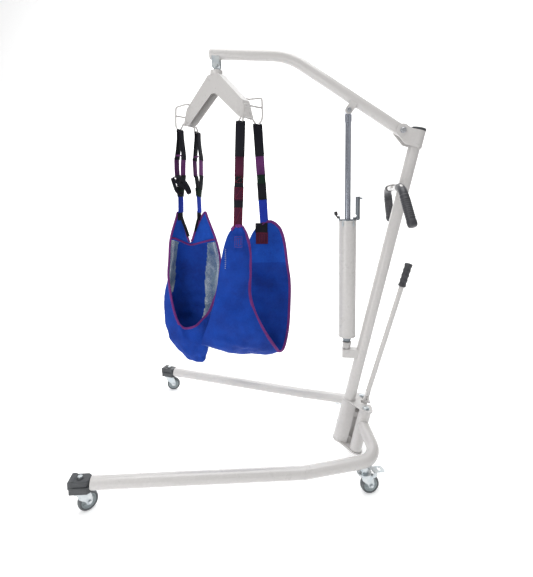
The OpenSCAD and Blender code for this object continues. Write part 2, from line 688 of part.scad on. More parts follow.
module straps_back() color("navy") in_sling() {
    strap([-180, 80, 1466], [-196, 102, 1100], [7, strap_w, 6]);
    strap([-110, 149, 1466], [-78, 103, 1100], [7, strap_w, 6]);
}
module straps_legs() color("navy") in_sling() {
    strap([112, -150, 1466], [101, -149, 1052], [strap_w, 7, 6]);
    strap([182, -80, 1466], [216, 24, 1062], [strap_w, 7, 6]);
}

mast_tube();
mast_cap();
head_bracket();
boom_pivot_bolt();
base_socket();
top_plate();
bottom_plate();
leg_pins();
lever_bracket();
jack_foot_bracket();
push_handle();
grip_right();
grip_left();
leg_tube_right();
leg_sleeve_right();
end_cap_right();
front_plate_right();
rear_plate_right();
leg_tube_left();
leg_sleeve_left();
end_cap_left();
front_plate_left();
rear_plate_left();
fork_front_right();
hub_front_right();
tyre_front_right();
fork_front_left();
hub_front_left();
tyre_front_left();
fork_rear_right();
hub_rear_right();
tyre_rear_right();
pedal_right();
fork_rear_left();
hub_rear_left();
tyre_rear_left();
pedal_left();
lever_crank();
lever_tube_node();
lever_grip();
boom_tube();
boom_jack_bracket();
boom_tip_bracket();
jack_shroud();
jack_pump();
jack_foot_eye();
pump_lever_socket();
release_knob();
jack_ram();
swivel_link();
spreader();
hook_wire_near();
hook_wire_far();
sling_back();
sling_legs();
straps_back();
straps_legs();
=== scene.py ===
"""Visual model of a patient lift hoist: painted frame, jack, castors and body sling."""
import json
import logging
import math
from dataclasses import dataclass, field
from enum import Enum
from typing import Callable, Iterable, Optional, Sequence

import bmesh
import bpy
import numpy as np
from mathutils import Matrix, Vector, noise


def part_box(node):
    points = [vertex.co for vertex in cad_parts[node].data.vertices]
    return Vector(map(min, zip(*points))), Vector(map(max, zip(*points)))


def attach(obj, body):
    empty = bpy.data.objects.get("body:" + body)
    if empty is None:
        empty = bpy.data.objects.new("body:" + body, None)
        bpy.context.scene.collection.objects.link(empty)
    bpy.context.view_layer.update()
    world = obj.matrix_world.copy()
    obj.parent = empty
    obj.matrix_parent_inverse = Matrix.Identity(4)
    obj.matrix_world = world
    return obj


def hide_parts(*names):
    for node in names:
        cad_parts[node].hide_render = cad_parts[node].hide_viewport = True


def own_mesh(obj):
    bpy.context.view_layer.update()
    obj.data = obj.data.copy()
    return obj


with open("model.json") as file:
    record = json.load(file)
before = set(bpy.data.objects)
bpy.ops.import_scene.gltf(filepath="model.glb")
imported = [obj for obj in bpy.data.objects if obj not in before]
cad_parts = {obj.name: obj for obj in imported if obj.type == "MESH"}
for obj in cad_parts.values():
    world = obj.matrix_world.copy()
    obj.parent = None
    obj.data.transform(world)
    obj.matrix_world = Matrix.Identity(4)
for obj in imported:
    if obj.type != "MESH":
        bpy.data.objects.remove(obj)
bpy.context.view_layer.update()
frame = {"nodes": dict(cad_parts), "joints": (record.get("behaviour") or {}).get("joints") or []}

LOG = logging.getLogger("hoist")
MM = 0.001

Color = tuple[float, float, float]
Point = Sequence[float]


# ---------------------------------------------------------------- finishes
class Nodes:
    """A material's node tree, with short calls for adding and joining nodes."""

    def __init__(self, name: str) -> None:
        """Start an empty tree with a shader and an output.

        Args:
            name: The material's name.
        """
        self.material = bpy.data.materials.new(name)
        self.material.use_nodes = True
        self.tree = self.material.node_tree
        self.tree.nodes.clear()
        self.shader = self.add("ShaderNodeBsdfPrincipled")
        out = self.add("ShaderNodeOutputMaterial")
        self.join(self.shader.outputs["BSDF"], out.inputs["Surface"])
        self.coords = self.add("ShaderNodeTexCoord").outputs["Object"]

    def add(self, kind: str, **settings: object) -> bpy.types.Node:
        """Add a node and set its properties.

        Args:
            kind: The node's type name.
            **settings: Properties to set on it.

        Returns:
            The new node.
        """
        node = self.tree.nodes.new(kind)
        for key, value in settings.items():
            setattr(node, key, value)
        return node

    def join(self, a: bpy.types.NodeSocket, b: bpy.types.NodeSocket) -> None:
        """Link output a to input b."""
        self.tree.links.new(a, b)

    def noise(self, scale: float, detail: float = 3.0, rough: float = 0.55,
              at: Optional[bpy.types.NodeSocket] = None) -> bpy.types.NodeSocket:
        """Add a noise texture.

        Args:
            scale: Features per metre.
            detail: Octaves.
            rough: Strength of the finer octaves.
            at: Coordinates, or None for the object's own.

        Returns:
            The noise's value, from 0 to 1.
        """
        node = self.add("ShaderNodeTexNoise")
        node.inputs["Scale"].default_value = scale
        node.inputs["Detail"].default_value = detail
        node.inputs["Roughness"].default_value = rough
        self.join(at or self.coords, node.inputs["Vector"])
        return node.outputs["Fac"]

    def math(self, kind: str, a: object, b: object = 0.0) -> bpy.types.NodeSocket:
        """Add a math node on two sockets or numbers, and return its output."""
        node = self.add("ShaderNodeMath", operation=kind)
        for value, socket in ((a, node.inputs[0]), (b, node.inputs[1])):
            if isinstance(value, bpy.types.NodeSocket):
                self.join(value, socket)
            else:
                socket.default_value = float(value)
        return node.outputs[0]

    def span(self, value: bpy.types.NodeSocket, lo: float, hi: float,
             to_lo: float, to_hi: float) -> bpy.types.NodeSocket:
        """Map a value from one range to another, clamped, and return the result."""
        node = self.add("ShaderNodeMapRange")
        self.join(value, node.inputs["Value"])
        for key, number in (("From Min", lo), ("From Max", hi), ("To Min", to_lo), ("To Max", to_hi)):
            node.inputs[key].default_value = number
        return node.outputs["Result"]

    def mix(self, factor: bpy.types.NodeSocket, a: object, b: object) -> bpy.types.NodeSocket:
        """Mix two colours, each a colour or a socket, and return the result."""
        node = self.add("ShaderNodeMix", data_type="RGBA")
        self.join(factor, node.inputs["Factor"])
        for value, key in ((a, 6), (b, 7)):
            if isinstance(value, bpy.types.NodeSocket):
                self.join(value, node.inputs[key])
            else:
                node.inputs[key].default_value = (*value, 1.0)
        return node.outputs[2]

    def bump(self, height: bpy.types.NodeSocket, strength: float, distance: float,
             normal: Optional[bpy.types.NodeSocket] = None) -> bpy.types.NodeSocket:
        """Add a bump node.

        Args:
            height: The height, from 0 to 1.
            strength: The bump's strength.
            distance: Depth of the relief in metres.
            normal: A normal to start from.

        Returns:
            The bumped normal.
        """
        node = self.add("ShaderNodeBump")
        node.inputs["Strength"].default_value = strength
        node.inputs["Distance"].default_value = distance
        self.join(height, node.inputs["Height"])
        if normal is not None:
            self.join(normal, node.inputs["Normal"])
        return node.outputs["Normal"]

    def set(self, **values: object) -> None:
        """Set numbers on the shader's own sockets; an underscore stands for a space."""
        for key, value in values.items():
            socket = self.shader.inputs[key.replace("_", " ")]
            if isinstance(value, bpy.types.NodeSocket):
                self.join(value, socket)
            elif isinstance(value, tuple):
                socket.default_value = (*value, 1.0)
            else:
                socket.default_value = value


def shade(color: Color, by: float) -> Color:
    """A colour made lighter or darker by a factor."""
    return tuple(min(1.0, c * by) for c in color)


@dataclass(frozen=True)
class Paint:
    """Powder coat: fine orange peel, faint cloudiness, rubbed edges and painted shade in its hollows."""

    name: str
    color: Color
    roughness: float = 0.3
    peel: float = 620.0
    # Strength of the painted shade in hollows and of the lighter rubbed edges.
    shade_and_wear: float = 0.35

    def material(self) -> bpy.types.Material:
        """Build the material."""
        n = Nodes(self.name)
        cloud = n.span(n.noise(3.0, 2.0), 0.3, 0.7, 0.0, 1.0)
        base = n.mix(cloud, shade(self.color, 0.985), shade(self.color, 1.02))
        edge = n.add("ShaderNodeNewGeometry").outputs["Pointiness"]
        # Painted shade: hollows and inner corners darkened in patches.
        hollow_shade = n.math("MULTIPLY", n.span(edge, 0.485, 0.42, 0.0, 1.0), n.noise(34.0, 5.0))
        base = n.mix(n.math("MULTIPLY", hollow_shade, self.shade_and_wear), base, shade(self.color, 0.55))
        rub = n.math("MULTIPLY", n.span(edge, 0.53, 0.60, 0.0, self.shade_and_wear),
                     n.span(n.noise(90.0, 4.0), 0.45, 0.6, 0.0, 1.0))
        base = n.mix(rub, base, shade(self.color, 1.12))
        soft = n.add("ShaderNodeBevel", samples=4)
        soft.inputs["Radius"].default_value = 0.0011
        rough = n.span(n.noise(22.0, 4.0), 0.3, 0.7, self.roughness - 0.04, self.roughness + 0.05)
        n.set(Base_Color=base, Roughness=rough, Coat_Weight=0.4, Coat_Roughness=0.10,
              Normal=n.bump(n.noise(self.peel, 2.0), 0.10, 0.0004, soft.outputs[0]))
        return n.material


@dataclass(frozen=True)
class Metal:
    """Plated or machined steel with drifting tone, fine scratches and dull spots."""

    name: str
    color: Color
    roughness: float = 0.32
    streak: float = 160.0
    tint: Color = (0.86, 0.92, 0.96)
    spots: float = 0.4
    uneven: float = 1.0

    def material(self) -> bpy.types.Material:
        """Build the material."""
        n = Nodes(self.name)
        drift = n.span(n.noise(45.0, 3.0), 0.32, 0.68, 0.0, 1.0)
        tinted = tuple(c * t for c, t in zip(self.color, self.tint))
        base = n.mix(drift, tinted, shade(self.color, 1.08))
        dull = n.span(n.noise(210.0, 5.0, 0.7), 0.52, 0.75, 0.0, 1.0)
        base = n.mix(n.math("MULTIPLY", dull, self.spots), base, shade(self.color, 0.55))
        rough = n.span(n.noise(self.streak, 5.0, 0.65), 0.3, 0.75,
                       self.roughness - 0.08 * self.uneven, self.roughness + 0.16 * self.uneven)
        soft = n.add("ShaderNodeBevel", samples=4)
        soft.inputs["Radius"].default_value = 0.0007
        n.set(Base_Color=base, Metallic=0.92, Roughness=rough,
              Normal=n.bump(n.noise(900.0, 3.0), 0.08, 0.0002, soft.outputs[0]))
        return n.material


@dataclass(frozen=True)
class Moulded:
    """Moulded plastic or rubber with a fine grain and scuffed high spots."""

    name: str
    color: Color
    roughness: float = 0.45
    grain: float = 1400.0
    depth: float = 0.0003
    sheen: float = 0.0

    def material(self) -> bpy.types.Material:
        """Build the material."""
        n = Nodes(self.name)
        cloud = n.span(n.noise(28.0, 4.0), 0.3, 0.7, 0.0, 1.0)
        base = n.mix(cloud, shade(self.color, 0.78), shade(self.color, 1.22))
        edge = n.add("ShaderNodeNewGeometry").outputs["Pointiness"]
        scuff = n.math("MULTIPLY", n.span(edge, 0.52, 0.60, 0.0, 0.5), n.noise(240.0, 5.0))
        base = n.mix(scuff, base, tuple(c * 0.6 + 0.10 for c in self.color))
        rough = n.span(n.noise(60.0, 4.0), 0.3, 0.7, self.roughness - 0.07, self.roughness + 0.1)
        soft = n.add("ShaderNodeBevel", samples=4)
        soft.inputs["Radius"].default_value = 0.0009
        n.set(Base_Color=base, Roughness=rough, Sheen_Weight=self.sheen,
              Normal=n.bump(n.noise(self.grain, 2.0), 0.22, self.depth, soft.outputs[0]))
        return n.material


class Weave(Enum):
    """Ways that the cloth's threads run."""

    PLAIN = "plain"
    NET = "net"
    WEBBING = "webbing"
    BINDING = "binding"


@dataclass(frozen=True)
class Cloth:
    """Woven cloth. Its threads follow the piece's own width and length coordinates."""

    name: str
    color: Color
    dark: Color
    weave: Weave = Weave.PLAIN
    threads: float = 700.0
    sheen: float = 0.12

    def threads_at(self, n: Nodes) -> tuple[bpy.types.NodeSocket, bpy.types.NodeSocket]:
        """Waves along and across the cloth.

        Args:
            n: The material's nodes.

        Returns:
            Warp and weft, each from 0 to 1.
        """
        place = n.add("ShaderNodeAttribute", attribute_name="cut").outputs["Vector"]
        warp, weft = [], []
        for axis, into in (("X", warp), ("Y", weft)):
            wave = n.add("ShaderNodeTexWave", bands_direction=axis, wave_profile="SIN")
            wave.inputs["Scale"].default_value = self.threads / 6.2832 * 2
            wave.inputs["Distortion"].default_value = 0.25
            wave.inputs["Detail Scale"].default_value = 2.0
            n.join(place, wave.inputs["Vector"])
            into.append(wave.outputs["Fac"])
        return warp[0], weft[0]

    def material(self) -> bpy.types.Material:
        """Build the material."""
        n = Nodes(self.name)
        warp, weft = self.threads_at(n)
        cloud = n.span(n.noise(9.0, 5.0, 0.6), 0.33, 0.68, 0.0, 1.0)
        base = n.mix(cloud, self.dark, self.color)
        slub = n.span(n.noise(130.0, 4.0, 0.7), 0.35, 0.7, 0.0, 0.3)
        base = n.mix(slub, base, shade(self.color, 1.35))
        if self.weave is Weave.WEBBING:
            relief = n.math("MULTIPLY", warp, n.span(weft, 0.0, 1.0, 0.6, 1.0))
        else:
            relief = n.math("MAXIMUM", warp, weft)
        base = n.mix(n.span(relief, 0.25, 0.8, 0.35, 0.0), base, shade(self.dark, 0.6))
        if self.weave is Weave.NET:
            hole = n.math("MULTIPLY", n.span(warp, 0.30, 0.62, 1.0, 0.0),
                          n.span(weft, 0.30, 0.62, 1.0, 0.0))
            knit = n.span(n.noise(300.0, 3.0, 0.7), 0.40, 0.62, 0.0, 0.75)
            base = n.mix(knit, base, shade(self.dark, 0.8))
            n.set(Alpha=n.math("SUBTRACT", 1.0, n.math("MULTIPLY", hole, 0.80)))
        n.set(Base_Color=base, Specular_IOR_Level=0.22, Roughness=n.span(relief, 0.0, 1.0, 0.88, 0.66),
              Sheen_Weight=self.sheen, Sheen_Roughness=0.45, Sheen_Tint=shade(self.color, 2.4),
              Normal=n.bump(relief, 0.35, 0.0006))
        return n.material


# ------------------------------------------------------------------- shapes
def unit(v: Point) -> Vector:
    """The direction of v."""
    return Vector(v).normalized()


def frame_at(origin: Point, z: Point, x: Point = (1, 0, 0)) -> Matrix:
    """A right-handed frame with a given Z direction and about the given X direction.

    Args:
        origin: The frame's origin.
        z: Direction of its Z axis.
        x: Rough direction of its X axis.

    Returns:
        The frame as a matrix.
    """
    zz = unit(z)
    xx = Vector(x) - zz * Vector(x).dot(zz)
    xx = xx.normalized() if xx.length > 1e-6 else zz.orthogonal().normalized()
    yy = zz.cross(xx)
    m = Matrix.Identity(4)
    for i, axis in enumerate((xx, yy, zz, Vector(origin))):
        for k in range(3):
            m[k][i] = axis[k]
    return m


def smooth_row(points: np.ndarray, count: int) -> np.ndarray:
    """Run a smooth curve through points.

    Args:
        points: Control points, one a row.
        count: Number of points wanted.

    Returns:
        Points evenly spread along the control points' numbering.
    """
    p = np.vstack([2 * points[0] - points[1], points, 2 * points[-1] - points[-2]])
    t = np.linspace(0, len(points) - 1, count)
    i = np.minimum(t.astype(int), len(points) - 2)
    f = (t - i)[:, None]
    a, b, c, d = p[i], p[i + 1], p[i + 2], p[i + 3]
    return 0.5 * (2 * b + (c - a) * f + (2 * a - 5 * b + 4 * c - d) * f ** 2
                  + (3 * b - a - 3 * c + d) * f ** 3)


def smooth_sheet(control: np.ndarray, rows: int, cols: int) -> np.ndarray:
    """A smooth surface through a grid of control points.

    Args:
        control: Grid of points, rows × columns × 3.
        rows: Rows wanted.
        cols: Columns wanted.

    Returns:
        The fine grid of points.
    """
    across = np.stack([smooth_row(row, cols) for row in control])
    return np.stack([smooth_row(across[:, j], rows) for j in range(cols)], axis=1)


def rounded(outline: Sequence[Point], radius: float, steps: int = 4) -> list[tuple[float, float]]:
    """Round the corners of a closed outline.

    Args:
        outline: Corner points.
        radius: Radius, made smaller where an edge is short.
        steps: Points for each corner, less one.

    Returns:
        The rounded outline.
    """
    out: list[tuple[float, float]] = []
    n = len(outline)
    for i in range(n):
        p, a, b = (Vector(outline[k][:2]) for k in (i, i - 1, (i + 1) % n))
        u, w = (a - p), (b - p)
        cut = min(radius, u.length * 0.45, w.length * 0.45)
        u, w = u.normalized() * cut, w.normalized() * cut
        for k in range(steps + 1):
            t = k / steps
            q = p + u * (1 - t) ** 2 + w * t ** 2
            out.append((q.x, q.y))
    return out


class Shape:
    """Vertices and faces of one piece, built in metres in the row frame."""

    def __init__(self) -> None:
        """Start empty."""
        self.verts: list[Vector] = []
        self.faces: list[tuple[int, ...]] = []
        self.mats: list[int] = []
        self.cut: list[tuple[float, float]] = []

    def put(self, points: Iterable[Point], cut: Optional[Iterable[tuple[float, float]]] = None) -> int:
        """Add vertices and return the first one's number."""
        start = len(self.verts)
        self.verts += [Vector(p) for p in points]
        extra = list(cut) if cut is not None else []
        self.cut += extra + [(0.0, 0.0)] * (len(self.verts) - start - len(extra))
        return start

    def face(self, *index: int, mat: int = 0) -> None:
        """Add one face."""
        self.faces.append(tuple(index))
        self.mats.append(mat)

    def rings(self, rings: Sequence[Sequence[Point]], mat: int = 0, caps: bool = True,
              closed: bool = False) -> "Shape":
        """Join rings of equal size into a skin.

        Args:
            rings: Rings of points.
            mat: Material number.
            caps: Close the first and last ring.
            closed: Join the last ring to the first.

        Returns:
            The shape itself.
        """
        n = len(rings[0])
        length = 0.0
        cut: list[tuple[float, float]] = []
        for i, ring in enumerate(rings):
            if i:
                length += (Vector(ring[0]) - Vector(rings[i - 1][0])).length
            around = 0.0
            for k in range(n):
                cut.append((around, length))
                around += (Vector(ring[(k + 1) % n]) - Vector(ring[k])).length
        base = self.put([p for ring in rings for p in ring], cut)
        m = len(rings)
        for i in range(m if closed else m - 1):
            a, b = base + i * n, base + ((i + 1) % m) * n
            for k in range(n):
                q = (k + 1) % n
                self.face(a + k, a + q, b + q, b + k, mat=mat)
        if caps and not closed:
            self.face(*range(base + n - 1, base - 1, -1), mat=mat)
            self.face(*range(base + (m - 1) * n, base + m * n), mat=mat)
        return self

    def lathe(self, place: Matrix, profile: Sequence[tuple[float, float]], around: int = 40,
              mat: int = 0, closed: bool = False) -> "Shape":
        """Turn a profile about a frame's Z axis.

        Args:
            place: The frame.
            profile: (radius, height) pairs in metres.
            around: Points round the axis.
            mat: Material number.
            closed: The profile is a closed loop.

        Returns:
            The shape itself.
        """
        turns = [2 * math.pi * k / around for k in range(around)]
        rings = [[place @ Vector((r * math.cos(t), r * math.sin(t), z)) for t in turns]
                 for r, z in profile]
        return self.rings(rings, mat, caps=not closed, closed=closed)

    def prism(self, place: Matrix, outline: Sequence[Point], z0: float, z1: float,
              edge: float = 0.0006, mat: int = 0) -> "Shape":
        """Extrude an outline with softened edges.

        Args:
            place: The frame that the outline's plane and Z axis lie in.
            outline: Points of the outline.
            z0: Lower end.
            z1: Upper end.
            edge: Width of the softened edge.
            mat: Material number.

        Returns:
            The shape itself.
        """
        pts = [Vector(p[:2]) for p in outline]
        area = sum(a.x * b.y - b.x * a.y for a, b in zip(pts, pts[1:] + pts[:1]))
        if area < 0:
            pts.reverse()
        n = len(pts)
        inner = []
        for i in range(n):
            a, p, b = pts[i - 1], pts[i], pts[(i + 1) % n]
            d = (b - a).normalized()
            inner.append(p + Vector((-d.y, d.x)) * edge)
        levels = ((inner, z0), (pts, z0 + edge), (pts, z1 - edge), (inner, z1))
        rings = [[place @ Vector((p.x, p.y, z)) for p in ring] for ring, z in levels]
        return self.rings(rings, mat)

    def sweep(self, path: Sequence[Point], section: Sequence[Point], mat: int = 0,
              up: Optional[Sequence[Point]] = None, closed: bool = False,
              scale: Optional[Sequence[float]] = None) -> "Shape":
        """Carry a section along a path without twisting it.

        Args:
            path: Points of the path.
            section: The section's outline, in metres.
            mat: Material number.
            up: Directions of the section's second axis, one for each point.
            closed: The path is a loop.
            scale: Size of the section at each point.

        Returns:
            The shape itself.
        """
        pts = [Vector(p) for p in path]
        n = len(pts)
        rings = []
        last = None
        for i, p in enumerate(pts):
            a = pts[i - 1] if i or closed else pts[0]
            b = pts[(i + 1) % n] if i < n - 1 or closed else pts[-1]
            t = (b - a).normalized()
            if up is not None:
                v = Vector(up[i])
            else:
                v = last if last is not None else t.orthogonal()
            v = (v - t * v.dot(t)).normalized()
            last = v
            u = v.cross(t)
            s = scale[i] if scale is not None else 1.0
            rings.append([p + u * (q[0] * s) + v * (q[1] * s) for q in section])
        return self.rings(rings, mat, caps=not closed, closed=closed)

    def cloth(self, grid: np.ndarray, thick: float, size: tuple[float, float],
              pick: Optional[Callable[[float, float], int]] = None,
              rim: int = 0) -> "Shape":
        """A sheet of cloth with a front, a back and an edge all round.

        Args:
            grid: Points, rows × columns × 3, in metres.
            thick: The cloth's thickness.
            size: Cut width and length, which the threads follow.
            pick: Material number for each (across, down), both 0 to 1.
            rim: Material number of the edge.

        Returns:
            The shape itself.
        """
        rows, cols, _ = grid.shape
        du = np.gradient(grid, axis=1)
        dv = np.gradient(grid, axis=0)
        nrm = np.cross(du, dv)
        nrm /= np.maximum(np.linalg.norm(nrm, axis=2, keepdims=True), 1e-9)
        cut = [(size[0] * j / (cols - 1), size[1] * i / (rows - 1))
               for i in range(rows) for j in range(cols)]
        front = self.put((grid + nrm * thick / 2).reshape(-1, 3).tolist(), cut)
        back = self.put((grid - nrm * thick / 2).reshape(-1, 3).tolist(), cut)
        for i in range(rows - 1):
            for j in range(cols - 1):
                mat = pick((j + 0.5) / (cols - 1), (i + 0.5) / (rows - 1)) if pick else 0
                a = i * cols + j
                q = (a, a + 1, a + cols + 1, a + cols)
                self.face(*(front + k for k in q), mat=mat)
                self.face(*(back + k for k in reversed(q)), mat=mat)
        edge = ([(0, j) for j in range(cols - 1)] + [(i, cols - 1) for i in range(rows - 1)]
                + [(rows - 1, j) for j in range(cols - 1, 0, -1)]
                + [(i, 0) for i in range(rows - 1, 0, -1)])
        ids = [i * cols + j for i, j in edge]
        for a, b in zip(ids, ids[1:] + ids[:1]):
            self.face(front + b, front + a, back + a, back + b, mat=rim)
        return self

    def piece(self, name: str, body: str, slot: str, materials: Sequence[bpy.types.Material],
              crease: float = 38.0, subdivide: int = 0) -> bpy.types.Object:
        """Make the object.

        Args:
            name: The piece's name.
            body: The CAD body that it rides on.
            slot: The record's material slot; not used.
            materials: Its materials, in the order of the faces' numbers.
            crease: Angle in degrees above which an edge stays sharp.
            subdivide: Levels of smooth subdivision.

        Returns:
            The new object.
        """
        mesh = bpy.data.meshes.new(name)
        mesh.from_pydata([tuple(v) for v in self.verts], [], self.faces)
        for m in materials:
            mesh.materials.append(m)
        mesh.polygons.foreach_set("material_index", self.mats)
        layer = mesh.attributes.new("cut", "FLOAT_VECTOR", "POINT")
        layer.data.foreach_set("vector", [c for u, v in self.cut for c in (u, v, 0.0)])
        work = bmesh.new()
        work.from_mesh(mesh)
        bmesh.ops.recalc_face_normals(work, faces=work.faces)
        for f in work.faces:
            f.smooth = True
        for e in work.edges:
            if len(e.link_faces) == 2 and math.degrees(e.calc_face_angle(0.0)) > crease:
                e.smooth = False
        work.to_mesh(mesh)
        work.free()
        obj = bpy.data.objects.new(name, mesh)
        bpy.context.scene.collection.objects.link(obj)
        if subdivide:
            mod = obj.modifiers.new("round", "SUBSURF")
            mod.levels = mod.render_levels = subdivide
            bpy.context.view_layer.update()
            done = bpy.data.meshes.new_from_object(obj.evaluated_get(bpy.context.evaluated_depsgraph_get()))
            obj.modifiers.clear()
            obj.data = done
            done.name = name
        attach(obj, body)
        LOG.info("%s rides on %s", name, body)
        return obj


def circle(radius: float, count: int = 16) -> list[tuple[float, float]]:
    """Points round a circle."""
    return [(radius * math.cos(2 * math.pi * k / count), radius * math.sin(2 * math.pi * k / count))
            for k in range(count)]


def hexagon(across_flats: float) -> list[tuple[float, float]]:
    """Corners of a hexagon with the given width across its flats."""
    return circle(across_flats / math.sqrt(3), 6)


# ------------------------------------------------------------------- layout
class Layout:
    """Places and directions that the record's joints and nodes give."""

    def __init__(self) -> None:
        """Read the joints."""
        self.joints = {j["name"]: j for j in frame["joints"]}
        up = self.axis("leg_swing_right")
        self.mast_up = up
        self.mast_back = Vector((0, up.z, -up.y))
        pivot = self.pos("leg_swing_right")
        self.foot = pivot - Vector((56, 0, 0)) * MM - self.mast_back * (67 * MM) - up * (160 * MM)

    def pos(self, joint: str) -> Vector:
        """A joint's position in metres."""
        return Vector(self.joints[joint]["pos_m"])

    def axis(self, joint: str) -> Vector:
        """A joint's axis."""
        return unit(self.joints[joint]["axis"])

    def on_mast(self, x: float, back: float, along: float) -> Vector:
        """A point in the mast's own frame.

        Args:
            x: Across, in millimetres.
            back: Behind the mast's axis, in millimetres.
            along: Up the mast, in millimetres.

        Returns:
            The point in metres in the row frame.
        """
        across = Vector((x, 0, 0)) * MM
        return self.foot + across + self.mast_back * (back * MM) + self.mast_up * (along * MM)

    def mast_frame(self, x: float, back: float, along: float) -> Matrix:
        """A frame on the mast: X across, Y behind, Z up the mast."""
        return frame_at(self.on_mast(x, back, along), self.mast_up, (1, 0, 0))


@dataclass
class Finishes:
    """Every finish of the hoist, built once."""

    made: dict[str, bpy.types.Material] = field(default_factory=dict)

    RECIPES = (
        Paint("paint", (0.52, 0.505, 0.495)),
        Paint("weld_paint", (0.47, 0.455, 0.445), roughness=0.36, peel=300.0),
        Metal("zinc", (0.58, 0.60, 0.605), 0.34),
        Metal("bolt_steel", (0.50, 0.51, 0.52), 0.28, tint=(0.95, 0.95, 1.0)),
        Metal("ram_steel", (0.36, 0.38, 0.43), 0.26, 60.0, tint=(0.97, 0.98, 1.0), spots=0.0, uneven=0.12),
        Metal("pump_steel", (0.22, 0.235, 0.25), 0.38),
        Moulded("cap_plastic", (0.028, 0.032, 0.037), 0.36, 1100.0),
        Moulded("grip_rubber", (0.030, 0.030, 0.036), 0.42, 1500.0, sheen=0.1),
        Moulded("knob_plastic", (0.016, 0.016, 0.018), 0.22, 600.0, 0.0001),
        Moulded("tyre_rubber", (0.085, 0.095, 0.10), 0.55, 1300.0, sheen=0.15),
        Moulded("hub_plastic", (0.30, 0.345, 0.36), 0.42, 900.0),
        Moulded("shadow_seam", (0.05, 0.05, 0.055), 0.7, 900.0),
        Cloth("sling_blue", (0.002, 0.050, 0.36), (0.001, 0.022, 0.20)),
        Cloth("sling_light", (0.005, 0.075, 0.46), (0.002, 0.036, 0.27)),
        Cloth("sling_net", (0.26, 0.36, 0.40), (0.04, 0.09, 0.24), Weave.NET, 150.0, 0.2),
        Cloth("binding", (0.165, 0.028, 0.17), (0.085, 0.012, 0.11), Weave.BINDING, 900.0, 0.5),
        Cloth("webbing_black", (0.010, 0.010, 0.016), (0.003, 0.003, 0.007), Weave.WEBBING, 620.0, 0.25),
        Cloth("webbing_wine", (0.085, 0.010, 0.035), (0.040, 0.005, 0.022), Weave.WEBBING, 620.0, 0.3),
        Cloth("webbing_purple", (0.155, 0.035, 0.165), (0.05, 0.012, 0.06), Weave.WEBBING, 620.0, 0.3),
        Cloth("webbing_green", (0.006, 0.028, 0.016), (0.002, 0.012, 0.007), Weave.WEBBING, 620.0, 0.3),
        Cloth("webbing_blue", (0.015, 0.050, 0.46), (0.008, 0.025, 0.28), Weave.WEBBING, 620.0, 0.35),
        Cloth("thread_red", (0.23, 0.018, 0.035), (0.13, 0.010, 0.022), Weave.BINDING, 1200.0, 0.4),
        Cloth("thread_white", (0.50, 0.52, 0.56), (0.32, 0.34, 0.38), Weave.BINDING, 1200.0, 0.3),
    )

    def __post_init__(self) -> None:
        """Build the materials."""
        for recipe in self.RECIPES:
            self.made[recipe.name] = recipe.material()

    def __getitem__(self, name: str) -> bpy.types.Material:
        """A material by its name."""
        return self.made[name]

    def dress(self, nodes: Iterable[str], name: str) -> None:
        """Give CAD nodes a finish.

        Args:
            nodes: Names of the nodes.
            name: Name of the finish.
        """
        for node in nodes:
            for slot in frame["nodes"][node].material_slots:
                slot.material = self.made[name]


